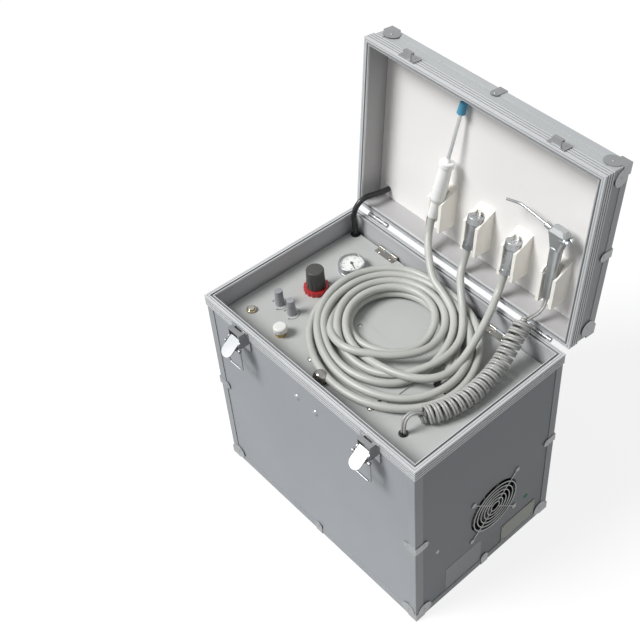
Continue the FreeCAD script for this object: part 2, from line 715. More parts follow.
def corner_protector():
    """A pressed corner for the corner at the origin whose faces look along -X, -Y and -Z."""
    t, c = CORNER_SHEET, CORNER_CENTRE
    lobes = []
    for axis, first, second in ((Z, X, Y), (X, Y, Z), (Y, Z, X)):
        square = Part.makePolygon(
            [
                first * -t + second * -t,
                first * c + second * -t,
                first * c + second * c,
                first * -t + second * c,
                first * -t + second * -t,
            ]
        )
        sheet = Part.Face(square).extrude(axis * -t)
        disc = rod(first * c + second * c, axis * -1, CORNER_RADIUS, t)
        lobes += [sheet, disc]
    rivets = [
        dome(first * c + second * c - axis * t, axis * -1, RIVET_RADIUS, RIVET_HEIGHT)
        for axis, first, second in ((Z, X, Y), (X, Y, Z), (Y, Z, X))
    ]
    return joined(lobes + rivets)


def at_corners(piece, z_face, top):
    """The corner piece on all four corners of a flat end of a box."""
    placed = []
    for sx, sy, angle in CORNERS:
        copy = piece.copy()
        if top:
            copy = turned(copy, (0, 0, 0), X + Y, 180)
        copy = turned(copy, (0, 0, 0), Z, angle)
        copy.translate(Vector(sx * (OUT_X + EDGE_SHEET), sy * (OUT_Y + EDGE_SHEET), z_face))
        placed.append(copy)
    return placed


def base_corners():
    return at_corners(corner_protector(), -EDGE_SHEET, False)


def edge_clip():
    """A clip bent over an edge that runs along Z at the origin, its faces looking along -X and -Y."""
    t, half = CORNER_SHEET, CLIP_WIDTH / 2
    along_x = block(-t, CLIP_REACH, -t, 0, -half, half)
    along_y = block(-t, 0, -t, CLIP_REACH, -half, half)
    ends = [
        rod((CLIP_REACH, 0, 0), Y * -1, half, t),
        rod((0, CLIP_REACH, 0), X * -1, half, t),
    ]
    rivets = [
        dome((CLIP_REACH, -t, 0), Y * -1, RIVET_RADIUS, RIVET_HEIGHT),
        dome((-t, CLIP_REACH, 0), X * -1, RIVET_RADIUS, RIVET_HEIGHT),
    ]
    return joined([along_x, along_y] + ends + rivets)


def end_clips(z_face, top):
    """Clips at the middle of the four edges round a flat end of a box."""
    lying = turned(edge_clip(), (0, 0, 0), Y, 90 if top else -90)
    clips = []
    for angle, reach in ((0, OUT_Y), (90, OUT_X), (180, OUT_Y), (270, OUT_X)):
        copy = lying.copy()
        copy.translate(Vector(0, -(reach + EDGE_SHEET), z_face))
        clips.append(turned(copy, (0, 0, 0), Z, angle))
    return clips


def base_clips():
    clips = end_clips(-EDGE_SHEET, False)
    for sx, sy, angle in CORNERS:
        copy = turned(edge_clip(), (0, 0, 0), Z, angle)
        copy.translate(Vector(sx * (OUT_X + EDGE_SHEET), sy * (OUT_Y + EDGE_SHEET), CLIP_MID_HEIGHT))
        clips.append(copy)
    return clips


def rubber_feet():
    feet = []
    for sx in (-1, 1):
        for sy in (-1, 1):
            place = (sx * (HALF_X - FOOT_INSET), sy * (HALF_Y - FOOT_INSET), -FOOT_HEIGHT)
            foot = rod(place, Z, FOOT_RADIUS, FOOT_HEIGHT)
            feet.append(rounded(foot, FOOT_ROUND, lambda c: c.z < 0.1 - FOOT_HEIGHT))
    return group(feet)


def front_bolts():
    bolts = []
    for place in bolt_places():
        head = dome(place, Y * -1, BOLT_HEAD_RADIUS, BOLT_HEAD_HEIGHT)
        shank = rod(place, Y, BOLT_RADIUS, BOARD + BOLT_NUT_HEIGHT)
        nut = rod(place + Y * BOARD, Y, BOLT_NUT_RADIUS, BOLT_NUT_HEIGHT)
        bolts.append(joined([head, shank, nut]))
    return bolts


def nameplate():
    """The blank rating plate low on the right side, with a screw in each corner."""
    length, height, sheet = NAMEPLATE
    y, z = NAMEPLATE_Y, EDGE_LEG + NAMEPLATE_LIFT + height / 2
    plate = block(OUT_X, OUT_X + sheet, y - length / 2, y + length / 2, z - height / 2, z + height / 2)
    reach_y, reach_z = length / 2 - PLATE_SCREW_INSET, height / 2 - PLATE_SCREW_INSET
    screws = [
        dome((OUT_X + sheet, y + sy * reach_y, z + sz * reach_z), X, PLATE_SCREW_RADIUS, PLATE_SCREW_HEIGHT)
        for sy in (-1, 1)
        for sz in (-1, 1)
    ]
    return joined([plate] + screws)


def base_fittings():
    return group(base_corners() + base_clips() + front_bolts() + [nameplate()] + guard_screws())


# ---- lid hinges --------------------------------------------------------------------------------------------
def knuckles(centre_x, length, count, wanted, axis_point, radius, pin_radius):
    """Barrel segments along X: those whose number is wanted, bored for the pin."""
    step = length / count
    made = []
    for number in range(count):
        if number in wanted:
            start = centre_x - length / 2 + number * step + KNUCKLE_GAP / 2
            place = Vector(start, axis_point.y, axis_point.z)
            barrel = rod(place, X, radius, step - KNUCKLE_GAP)
            bore = rod(place - X, X, pin_radius + PIN_CLEARANCE, step + 2)
            made.append((start, step - KNUCKLE_GAP, barrel, bore))
    return made


def lid_hinge_half(wanted, way):
    """Both hinges' leaves and knuckles on one side: way -1 on the base, +1 on the lid."""
    face, out, level = HALF_Y, HALF_Y + HINGE_LEAF, HINGE.z
    near, far = level + way * LEAF_CLEARANCE, level + way * (LEAF_CLEARANCE + HINGE_LEAF_HEIGHT)
    half = HINGE_LENGTH / 2
    halves = []
    for centre in LID_HINGE_CENTRES:
        pieces = [block(centre - half, centre + half, face, out, min(near, far), max(near, far))]
        bores = []
        for start, length, barrel, bore in knuckles(
            centre, HINGE_LENGTH, 5, wanted, HINGE, HINGE_BARREL_RADIUS, HINGE_PIN_RADIUS
        ):
            pieces += [barrel, block(start, start + length, face, out, min(level, near), max(level, near))]
            bores.append(bore)
        whole = joined(pieces)
        for bore in bores:
            whole = whole.cut(bore)
        halves.append(whole)
    return halves


def lid_hinge_fixed():
    low = Vector(-HINGE_LENGTH / 2, HINGE.y, HINGE.z)
    pins = [rod(low + X * centre, X, HINGE_PIN_RADIUS, HINGE_LENGTH) for centre in LID_HINGE_CENTRES]
    return group(lid_hinge_half((0, 2, 4), -1) + pins)


def lid_hinge_leaves():
    return opened(group(lid_hinge_half((1, 3), 1)))


# ---- latches -----------------------------------------------------------------------------------------------
def latch_bracket(x):
    """The fixed part of one latch: a plate bent over the rim flange, a slotted shelf and two cheeks."""
    face, flange = -OUT_Y, -HALF_Y
    top = BASE_HEIGHT - LATCH_PLATE_TOP
    under_rim = BASE_HEIGHT - RIM_FLANGE
    half, t = LATCH_PLATE_WIDTH / 2, LATCH_PLATE
    y, z = LATCH_AXIS.y, LATCH_AXIS.z
    lower = block(x - half, x + half, face - t, face, top - LATCH_PLATE_HEIGHT, under_rim)
    step = block(x - half, x + half, flange - t, face, under_rim - t, under_rim)
    upper = block(x - half, x + half, flange - t, flange, under_rim - t, top)
    shelf_half, slot_half = LATCH_SHELF_WIDTH / 2, LATCH_SLOT_WIDTH / 2
    shelf_out, slot_out = flange - LATCH_SHELF_OUT, flange - t - LATCH_SLOT_DEPTH
    shelf = block(x - shelf_half, x + shelf_half, shelf_out, flange, top - t, top)
    slot = block(x - slot_half, x + slot_half, slot_out, flange - t, top - 2 * t, top + 1)
    pieces, bores = [lower, step, upper, shelf.cut(slot)], []
    ear_in = LEVER_HALF_WIDTH + EAR_GAP
    for side in (-1, 1):
        low = x + ear_in if side > 0 else x - ear_in - EAR_SHEET
        high = low + EAR_SHEET
        pieces.append(rod((low, y, z), X, EAR_RADIUS, EAR_SHEET))
        pieces.append(block(low, high, y, face, z - EAR_RADIUS, z))
        pieces.append(block(low, high, shelf_out, flange, z, top))
        bores.append(rod((low - 1, y, z), X, LATCH_PIN_RADIUS + PIN_CLEARANCE, EAR_SHEET + 2))
    bracket = joined(pieces)
    for bore in bores:
        bracket = bracket.cut(bore)
    return bracket


def latch_brackets():
    return group([latch_bracket(side * LATCH_X) for side in (-1, 1)])


def latch_lever(x):
    """One lever with its pivot pin and the two pins that carry the wire loop, swung out from the wall."""
    y, z = LATCH_AXIS.y, LATCH_AXIS.z
    half = LEVER_HALF_WIDTH
    inner = y - LEVER_STAND_OFF
    outer = inner - LEVER_PLATE
    tip = z - LEVER_LENGTH
    plate = block(x - half, x + half, outer, inner, tip, z + LEVER_TOP)
    pieces = [rounded(plate, LEVER_TIP_ROUND, lambda c: c.z < tip + 0.01 and abs(c.x - x) > 1)]
    pieces.append(rod((x - half, y, z), X, LEVER_HUB_RADIUS, 2 * half))
    cheek_low = z - BAIL_OFFSET - 2 * BAIL_PIN_RADIUS
    pin_length = BAIL_HALF_WIDTH + BAIL_WIRE_RADIUS - half
    for side in (-1, 1):
        low = x + half - LEVER_CHEEK if side > 0 else x - half
        pieces.append(block(low, low + LEVER_CHEEK, inner, y + LEVER_CHEEK_IN, cheek_low, z))
        start = x + half if side > 0 else x - half - pin_length
        pieces.append(rod((start, y, z - BAIL_OFFSET), X, BAIL_PIN_RADIUS, pin_length))
    span = half + EAR_GAP + EAR_SHEET
    pieces.append(rod((x - span, y, z), X, LATCH_PIN_RADIUS, 2 * span))
    return turned(joined(pieces), LATCH_AXIS, X, -LEVER_OPEN_ANGLE)


def latch_bail(x):
    """One wire loop, hanging from the pins at the sides of its lever."""
    y, z = BAIL_AXIS.y, BAIL_AXIS.z
    low, top, corner = z - BAIL_LENGTH, z - BAIL_PIN_RADIUS, BAIL_CORNER
    left, right = x - BAIL_HALF_WIDTH, x + BAIL_HALF_WIDTH
    turn = corner * (1 - cos(pi / 4))
    down = [Vector(left, y, top), Vector(left, y, low + corner), Vector(left + turn, y, low + turn)]
    across = [Vector(left + corner, y, low), Vector(right - corner, y, low)]
    up = [Vector(right - turn, y, low + turn), Vector(right, y, low + corner), Vector(right, y, top)]
    path = [
        Part.LineSegment(down[0], down[1]).toShape(),
        Part.Arc(down[1], down[2], across[0]).toShape(),
        Part.LineSegment(across[0], across[1]).toShape(),
        Part.Arc(across[1], up[0], up[1]).toShape(),
        Part.LineSegment(up[1], up[2]).toShape(),
    ]
    ring = Part.Wire(Part.makeCircle(BAIL_WIRE_RADIUS, down[0], Z * -1))
    pieces = [Part.Wire(path).makePipeShell([ring], True, True)]
    eye_half = BAIL_WIRE_RADIUS - BAIL_EYE_GAP / 2
    reach = 2 * BAIL_WIRE_RADIUS
    for side in (left, right):
        pieces.append(rod((side - eye_half, y, z), X, BAIL_EYE_RADIUS, 2 * eye_half))
    bail = joined(pieces)
    for side in (left, right):
        bail = bail.cut(rod((side - reach, y, z), X, BAIL_PIN_RADIUS + PIN_CLEARANCE, 2 * reach))
    return bail


def keeper(x):
    """One lid hook: a plate on the lid's rim flange, with a tongue that curls over for the wire loop."""
    face = -HALF_Y - KEEPER_SHEET
    low, half, t = LID_BASE + KEEPER_FROM_RIM, KEEPER_WIDTH / 2, KEEPER_SHEET
    plate = block(x - half, x + half, face, -HALF_Y, low, low + KEEPER_HEIGHT)
    tongue_half = KEEPER_TONGUE_WIDTH / 2
    foot = LID_BASE + KEEPER_TONGUE_FROM_RIM
    out = face - KEEPER_TONGUE_OUT
    far = foot + t + 2 * BAIL_WIRE_RADIUS + BAIL_SLACK
    riser = block(x - tongue_half, x + tongue_half, out, face, foot, foot + t)
    cover = block(x - tongue_half, x + tongue_half, out, out + t, foot, far + t)
    lip = block(x - tongue_half, x + tongue_half, out, out + KEEPER_TONGUE_LIP, far, far + t)
    screw_reach, screw_level = half - KEEPER_SCREW_FROM_END, low + KEEPER_HEIGHT - KEEPER_SCREW_FROM_END
    screws = [
        dome((x + side * screw_reach, face, screw_level), Y * -1, SCREW_HEAD_RADIUS, SCREW_HEAD_HEIGHT)
        for side in (-1, 1)
    ]
    return joined([plate, riser, cover, lip] + screws)


def latch_keepers():
    return [keeper(side * LATCH_X) for side in (-1, 1)]


# ---- lid ---------------------------------------------------------------------------------------------------
def lid_boards():
    low = LID_BASE + RIM_CAP
    top_face = LID_TOP - BOARD
    cover = block(-OUT_X, OUT_X, -OUT_Y, OUT_Y, top_face, LID_TOP)
    front = block(-OUT_X, OUT_X, -OUT_Y, -IN_Y, low, top_face)
    rear = block(-OUT_X, OUT_X, IN_Y, OUT_Y, low, top_face)
    left = block(-OUT_X, -IN_X, -IN_Y, IN_Y, low, top_face)
    right = block(IN_X, OUT_X, -IN_Y, IN_Y, low, top_face)
    return opened(group([cover, front, rear, left, right]))


def lid_rim():
    levels = [LID_BASE + drop for drop in RIM_GROOVE_DROPS]
    rim = rim_profile(LID_BASE + RIM_FLANGE, LID_BASE, LID_BASE, LID_BASE + RIM_CAP, levels)
    half_x, half_y = HALF_X - SEAL_INSET - SEAL_CLEARANCE, HALF_Y - SEAL_INSET - SEAL_CLEARANCE
    width = SEAL_WIDTH - 2 * SEAL_CLEARANCE
    return opened(joined([rim, frame_ring(half_x, half_y, LID_BASE - TONGUE_HEIGHT, LID_BASE, width)]))


def lid_edges():
    uprights = [
        upright_angle(sx * OUT_X, sy * OUT_Y, LID_BASE + RIM_FLANGE, LID_TOP - EDGE_LEG)
        for sx in (-1, 1)
        for sy in (-1, 1)
    ]
    return opened(group([edge_tray(LID_TOP, 1)] + uprights))


def lid_fittings():
    corners = at_corners(corner_protector(), LID_TOP + EDGE_SHEET, True)
    return opened(group(corners + end_clips(LID_TOP + EDGE_SHEET, True) + latch_keepers()))


def lid_liner():
    half_x, half_y = IN_X - LINER_CLEARANCE, IN_Y - LINER_CLEARANCE
    level = LID_BASE + LINER_DEPTH
    liner = block(-half_x, half_x, -half_y, half_y, level, LID_TOP - BOARD)
    screw_x, screw_y = half_x - LINER_SCREW_FROM_END, half_y - LINER_SCREW_FROM_EDGE
    screws = [
        dome((sx * screw_x, sy * screw_y, level), Z * -1, SCREW_HEAD_RADIUS, SCREW_HEAD_HEIGHT)
        for sx in (-1, 1)
        for sy in (-1, 1)
    ]
    return opened(joined([liner] + screws))


def holder_x(number):
    return HOLDER_CENTRE + (number - 1.5) * HOLDER_PITCH


# Each instrument's holder, the depth of its seat from the rim, and how far its top leans in and sideways.
INSTRUMENTS = {
    "scaler": {"number": 0, "depth": 12.0, "lean": 6.8, "sway": -5.0},
    "coupling_1": {"number": 1, "depth": 14.8, "lean": 11.0, "sway": 0.0},
    "coupling_2": {"number": 2, "depth": 14.8, "lean": 11.0, "sway": 0.0},
    "syringe": {"number": 3, "depth": 14.0, "lean": 2.0, "sway": 0.0},
}


def instrument_placement(name):
    """Carries a shape modelled on +Z, with its seat at the origin, to its place in the shut lid."""
    spot = INSTRUMENTS[name]
    seat = in_lid(holder_x(spot["number"]), INSTRUMENT_SEAT, spot["depth"])
    lay_down = FreeCAD.Rotation(X, 90 - spot["lean"])
    sway = FreeCAD.Rotation(Z, -spot["sway"])
    return FreeCAD.Placement(seat, sway.multiply(lay_down))


def in_holder(shape, name):
    copy = shape.copy()
    copy.Placement = instrument_placement(name).multiply(copy.Placement)
    return opened(copy)


def instrument_holder(name):
    """One U-shaped holder: a web on the liner and two arms with sloping tops, hollowed for its instrument."""
    x = holder_x(INSTRUMENTS[name]["number"])
    outer, gap = HOLDER_OUTER / 2, HOLDER_GAP / 2
    back, front = LINER_DEPTH, LINER_DEPTH - HOLDER_REACH
    corners = [(HOLDER_LOW, back), (HOLDER_WALL_TOP, back), (HOLDER_FRONT_TOP, front), (HOLDER_LOW, front)]
    outline = [in_lid(x - outer, up, depth) for up, depth in corners + corners[:1]]
    body = Part.Face(Part.makePolygon(outline)).extrude(X * HOLDER_OUTER)
    low = in_lid(x - gap, HOLDER_WALL_TOP + 1, front - 1)
    high = in_lid(x + gap, HOLDER_LOW - 1, back - HOLDER_WEB)
    body = body.cut(block(low.x, high.x, low.y, high.y, low.z, high.z))
    seat = rod((0, 0, -SEAT_CLEARANCE), Z, COUPLING_HEAD_RADIUS + SEAT_CLEARANCE, HOLDER_WALL_TOP)
    bore = rod((0, 0, -INSTRUMENT_SEAT), Z, INSTRUMENT_RADIUS + SEAT_CLEARANCE, 2 * INSTRUMENT_SEAT)
    for tool in (seat, bore):
        tool.Placement = instrument_placement(name).multiply(tool.Placement)
        body = body.cut(tool)
    return opened(body)


def instrument_holders():
    return group([instrument_holder(name) for name in INSTRUMENTS])


def handpiece_coupling(name):
    """A metal hose coupling: a ported head on a narrower body, with a crimp collar for the hose."""
    top, radius = COUPLING_HEAD_LENGTH, COUPLING_HEAD_RADIUS
    head = rod((0, 0, COUPLING_SHOULDER), Z, radius, top - COUPLING_SHOULDER)
    head = rounded(head, 1.0, lambda c: c.z > top - 0.01)
    shoulder = cone((0, 0, 0), Z, INSTRUMENT_RADIUS, radius, COUPLING_SHOULDER)
    body = rod((0, 0, -COUPLING_TAIL), Z, COUPLING_BODY_RADIUS, COUPLING_TAIL)
    collar = rod((0, 0, -COUPLING_TAIL), Z, INSTRUMENT_RADIUS, COUPLING_COLLAR)
    width, depth, height = COUPLING_KEY
    key_out = radius - COUPLING_KEY_INSET
    key = block(-width / 2, width / 2, key_out - depth, key_out, top, top + height)
    whole = joined([head, shoulder, body, collar, key])
    for index, port_radius in enumerate(COUPLING_PORT_RADII):
        angle = pi / 4 + index * pi / 2
        place = Vector(cos(angle), sin(angle), 0) * COUPLING_PORT_CIRCLE + Z * (top - COUPLING_PORT_DEPTH)
        whole = whole.cut(rod(place, Z, port_radius, COUPLING_PORT_DEPTH + 1))
    return in_holder(whole, name)


def turbine_couplings():
    return group([handpiece_coupling("coupling_1"), handpiece_coupling("coupling_2")])


def scaler_handpiece():
    head, seat, flare_top = COUPLING_HEAD_RADIUS - SCALER_STEP, INSTRUMENT_RADIUS, SCALER_FLARE_LENGTH
    waist, ring_low = head - SCALER_BARREL_TAPER, SCALER_BARREL_LENGTH - SCALER_RING_LENGTH
    tail = rod((0, 0, -SCALER_TAIL), Z, seat - SCALER_STEP, SCALER_TAIL)
    flare = cone((0, 0, 0), Z, seat, head, flare_top)
    barrel = cone((0, 0, flare_top), Z, head, waist, ring_low - flare_top)
    ring = rounded(rod((0, 0, ring_low), Z, head, SCALER_RING_LENGTH), SCALER_RING_ROUND, lambda c: True)
    nose_top = SCALER_BARREL_LENGTH + SCALER_NOSE_LENGTH
    nose = cone((0, 0, ring_low), Z, head - SCALER_RING_ROUND, SCALER_NECK_RADIUS, nose_top - ring_low)
    neck = cone(
        (0, 0, nose_top), Z, SCALER_NECK_RADIUS, SCALER_NECK_RADIUS - SCALER_NECK_TAPER, SCALER_NECK_LENGTH
    )
    return in_holder(joined([tail, flare, barrel, ring, nose, neck]), "scaler")


def scaler_tip():
    """The steel tip and the soft cap pushed over it."""
    start = SCALER_BARREL_LENGTH + SCALER_NOSE_LENGTH + SCALER_NECK_LENGTH
    point_low, point_length = start + SCALER_COLLAR_LENGTH, SCALER_TIP_LENGTH - SCALER_COLLAR_LENGTH
    collar = rod((0, 0, start), Z, SCALER_TIP_RADIUS + SCALER_COLLAR_PROUD, SCALER_COLLAR_LENGTH)
    point = cone((0, 0, point_low), Z, SCALER_TIP_RADIUS, SCALER_POINT_RADIUS, point_length)
    low, high = start - CAP_LAP, start - CAP_LAP + CAP_LENGTH
    shell = cone((0, 0, low), Z, CAP_RADIUS, CAP_RADIUS - 0.8, CAP_LENGTH)
    shell = rounded(shell, 1.2, lambda c: c.z > high - 0.01)
    hollow = rod((0, 0, low - 1), Z, CAP_BORE_RADIUS, CAP_LENGTH - CAP_WALL + 1)
    return group([in_holder(joined([collar, point]), "scaler"), in_holder(shell.cut(hollow), "scaler")])


def syringe_button_places():
    height = SYRINGE_GRIP + SYRINGE_BUTTON_RISE
    return [Vector(SYRINGE_HEAD[0] / 2, side * SYRINGE_BUTTON_SPACING / 2, height) for side in (-1, 1)]


def cut_corner_outline(size, height):
    """A level rectangle of two sizes with its corners cut off."""
    x, y, cut = size[0] / 2, size[1] / 2, SYRINGE_HEAD_CORNER
    corners = [(x, cut - y), (x, y - cut), (x - cut, y), (cut - x, y)]
    corners += [(-a, -b) for a, b in corners]
    return Part.makePolygon([Vector(a, b, height) for a, b in corners + corners[:1]])


def syringe_body():
    """The gun-shaped body of the syringe: a grip under a wedge-shaped head with two button wells."""
    width, length, depth = SYRINGE_HEAD
    seat, top = INSTRUMENT_RADIUS, SYRINGE_GRIP + length
    tail = cone((0, 0, -SYRINGE_TAIL), Z, seat - 2.2, seat - 0.4, SYRINGE_TAIL)
    grip = cone((0, 0, 0), Z, seat - 0.4, seat + 0.6, SYRINGE_GRIP)
    foot = cut_corner_outline(SYRINGE_HEAD_FOOT, SYRINGE_GRIP - SYRINGE_HEAD_CORNER)
    shoulder = cut_corner_outline((width, depth), top - SYRINGE_SHOULDER)
    crest = cut_corner_outline(SYRINGE_HEAD_CREST, top)
    head = [Part.makeLoft([foot, shoulder], True, True), Part.makeLoft([shoulder, crest], True, True)]
    boss_radius, boss_run = SYRINGE_BUTTON_RADIUS + SYRINGE_BOSS_WALL, width / 2 - SYRINGE_BOSS_ROOT
    bosses = [rod(place, X * -1, boss_radius, boss_run) for place in syringe_button_places()]
    bosses.append(rod(nozzle_root(), X, NOZZLE_NUT_RADIUS, boss_run))
    whole = joined([tail, grip] + head + bosses)
    well = 2 * (SYRINGE_BUTTON_TRAVEL + 2 * SEAT_CLEARANCE)
    for place in syringe_button_places():
        whole = whole.cut(rod(place, X * -1, SYRINGE_BUTTON_RADIUS + SEAT_CLEARANCE, well))
    socket_end = nozzle_root() - nozzle_way() * (NOZZLE_SEAT + 1)
    socket = rod(socket_end, nozzle_way(), NOZZLE_RADIUS + PIN_CLEARANCE, NOZZLE_SEAT + 2)
    return in_holder(whole.cut(socket), "syringe")


def nozzle_way():
    """The direction of the nozzle's first run, out of the head and a little upwards."""
    tilt = radians(NOZZLE_TILT)
    return Vector(-cos(tilt), 0, sin(tilt))


def nozzle_root():
    """Where the nozzle's axis enters the left side of the syringe head."""
    return Vector(-SYRINGE_HEAD[0] / 2, 0, SYRINGE_GRIP + SYRINGE_NOZZLE_RISE)


def syringe_nozzle():
    """The bent spray nozzle and its nut, turning about the axis where it enters the head."""
    root, way = nozzle_root(), nozzle_way()
    start, end_run = root - way * (NOZZLE_SEAT - 1), root + way * (NOZZLE_NUT_LENGTH + NOZZLE_RUN)
    bend, lower = radians(NOZZLE_BEND), radians(NOZZLE_BEND - NOZZLE_TILT)
    reach = NOZZLE_TIP / 3
    radius = reach / tan(bend / 2)
    down = Vector(-cos(lower), 0, -sin(lower))
    first, last = end_run - way * reach, end_run + down * reach
    middle = end_run + (down - way).normalize() * (radius / cos(bend / 2) - radius)
    path = [
        Part.LineSegment(start, first).toShape(),
        Part.Arc(first, middle, last).toShape(),
        Part.LineSegment(last, end_run + down * NOZZLE_TIP).toShape(),
    ]
    ring = Part.Wire(Part.makeCircle(NOZZLE_RADIUS, start, way))
    pipe = Part.Wire(path).makePipeShell([ring], True, True)
    nut_start = root + way * (NOZZLE_NUT_RADIUS * tan(radians(NOZZLE_TILT)) + SEAT_CLEARANCE)
    nut = rod(nut_start, way, NOZZLE_NUT_RADIUS, NOZZLE_NUT_LENGTH)
    return in_holder(joined([pipe, nut]), "syringe")


def syringe_button(index):
    place = syringe_button_places()[index]
    bottom = place - X * SYRINGE_BUTTON_TRAVEL
    button = rod(bottom, X, SYRINGE_BUTTON_RADIUS, SYRINGE_BUTTON_TRAVEL + SYRINGE_BUTTON_HEIGHT)
    top = place.x + SYRINGE_BUTTON_HEIGHT
    button = rounded(button, 1.0, lambda c: c.x > top - 0.01)
    return in_holder(button, "syringe")


# ---- handle ------------------------------------------------------------------------------------------------
def handle_mounts():
    """Two plates on the cover, each with a pair of ears that carry one foot of the handle."""
    y, z = HANDLE_AXIS.y, HANDLE_AXIS.z
    half, ear_in = HANDLE_MOUNT_LENGTH / 2, HANDLE_BOW_WIDTH / 2 + EAR_GAP
    front, rear = y - HANDLE_MOUNT_DEPTH + HANDLE_MOUNT_REAR, y + HANDLE_MOUNT_REAR
    sheet_top = LID_TOP + HANDLE_MOUNT_SHEET
    mounts = []
    for side in (-1, 1):
        x = side * HANDLE_HALF_SPACING
        pieces = [block(x - half, x + half, front, rear, LID_TOP, sheet_top)]
        for way in (-1, 1):
            low = x + ear_in if way > 0 else x - ear_in - HANDLE_EAR_SHEET
            high = low + HANDLE_EAR_SHEET
            pieces.append(rod((low, y, z), X, HANDLE_EYE_RADIUS, HANDLE_EAR_SHEET))
            pieces.append(block(low, high, front, y + HANDLE_EYE_RADIUS, sheet_top, z))
        bore = rod((x - half, y, z), X, HANDLE_PIN_RADIUS + PIN_CLEARANCE, 2 * half)
        mounts.append(joined(pieces).cut(bore))
    return opened(group(mounts))


def handle_bow():
    """The cast bow of the handle: two feet with their pins, rounded shoulders and the bar inside the grip."""
    y, z = HANDLE_AXIS.y, HANDLE_AXIS.z
    outer, inner = HANDLE_HALF_SPACING + HANDLE_BOW_WIDTH / 2, HANDLE_HALF_SPACING - HANDLE_BOW_WIDTH / 2
    top = y + HANDLE_REACH + HANDLE_BOW_OUT
    low = LID_TOP + HANDLE_BOW_HEIGHT - HANDLE_BOW_SHEET / 2
    high = low + HANDLE_BOW_SHEET
    bar_low, bar_high = y + HANDLE_REACH - HANDLE_BAR_DEPTH / 2, y + HANDLE_REACH + HANDLE_BAR_DEPTH / 2
    slab = block(-outer, outer, y, top, low, high)
    slab = rounded(slab, HANDLE_BOW_ROUND, lambda c: abs(abs(c.x) - outer) < 0.01 and abs(c.y - top) < 0.01)
    slab = slab.cut(block(-inner, inner, y - 1, bar_low, low - 1, high + 1))
    slab = slab.cut(block(-GRIP_LENGTH / 2, GRIP_LENGTH / 2, bar_high, top + 1, low - 1, high + 1))
    span = HANDLE_BOW_WIDTH / 2 + EAR_GAP + HANDLE_EAR_SHEET
    feet = []
    for side in (-1, 1):
        middle = side * HANDLE_HALF_SPACING
        feet.append(rod((middle - HANDLE_BOW_WIDTH / 2, y, z), X, HANDLE_EYE_RADIUS, HANDLE_BOW_WIDTH))
        feet.append(rod((middle - span, y, z), X, HANDLE_PIN_RADIUS, 2 * span))
    return opened(joined([slab] + feet))


def handle_grip():
    """The moulded grip round the bar of the bow."""
    y, z = HANDLE_AXIS.y + HANDLE_REACH, LID_TOP + HANDLE_BOW_HEIGHT
    half, deep, thick = GRIP_LENGTH / 2, GRIP_DEPTH / 2, GRIP_THICKNESS / 2
    grip = block(-half, half, y - deep, y + deep, z - thick, z + thick)
    grip = rounded(grip, GRIP_ROUND, lambda c: abs(abs(c.y - y) - deep) + abs(abs(c.z - z) - thick) < 0.01)
    bar_half, sheet_half = HANDLE_BAR_DEPTH / 2, HANDLE_BOW_SHEET / 2
    bar = block(-half - 1, half + 1, y - bar_half, y + bar_half, z - sheet_half, z + sheet_half)
    return opened(grip.cut(bar))


# ---- control panel -----------------------------------------------------------------------------------------
def round_holes():
    """Centre and radius of every round hole in the panel."""
    holes = [(SWITCH, BUTTON_RADIUS + 0.2), (VALVE, VALVE_STEM_RADIUS + 0.2)]
    holes += [(place, SMALL_KNOB_SHAFT_RADIUS + 0.1) for place in SMALL_KNOBS]
    holes += [
        (REGULATOR, REGULATOR_NECK_RADIUS),
        (GAUGE, GAUGE_BODY_RADIUS),
        (LIFT_KNOB, LIFT_SHAFT_RADIUS + PIN_CLEARANCE),
        (CORD_HOLE, CORD_TUBE_DIAMETER / 2 + GROMMET_LIP),
        (LID_CABLE_HOLE, CABLE_DIAMETER / 2 + GROMMET_LIP),
    ]
    return holes


def grommet_outline():
    """The long oval of the hose grommet, as thick as the panel."""
    reach, radius = HOSE_DIAMETER + 1.0, HOSE_DIAMETER / 2 + GROMMET_LIP
    x, y, z = HOSE_GROMMET.x, HOSE_GROMMET.y, PANEL_UNDER
    middle = block(x - reach, x + reach, y - radius, y + radius, z, PANEL_TOP)
    ends = [rod((x + way * reach, y, z), Z, radius, PANEL_SHEET) for way in (-1, 1)]
    return joined([middle] + ends)


def control_panel():
    sheet = block(PANEL_LEFT, PANEL_RIGHT, PANEL_FRONT, PANEL_REAR, PANEL_UNDER, PANEL_TOP)
    sheet = rounded(sheet, PANEL_ROUND, lambda c: abs(c.z - PANEL_TOP + PANEL_SHEET / 2) < 0.01)
    for place, radius in round_holes():
        sheet = sheet.cut(rod((place.x, place.y, PANEL_UNDER - 1), Z, radius, PANEL_SHEET + 2))
    return sheet.cut(grommet_outline())


def panel_grommets():
    """Rubber grommets where the hoses, the syringe cord and the lid cable come through the panel."""
    made = [grommet_outline()]
    for place, bore in ((CORD_HOLE, CORD_TUBE_DIAMETER / 2), (LID_CABLE_HOLE, CABLE_DIAMETER / 2)):
        low = Vector(place.x, place.y, PANEL_UNDER)
        radius = bore + GROMMET_LIP
        body = rod(low, Z, radius, PANEL_SHEET)
        collar = rod(low - Z * GROMMET_SHEET, Z, radius + GROMMET_LIP / 2, GROMMET_SHEET)
        lip = rod(place, Z, radius + GROMMET_LIP / 2, GROMMET_SHEET)
        made.append(joined([body, collar, lip]))
    return made


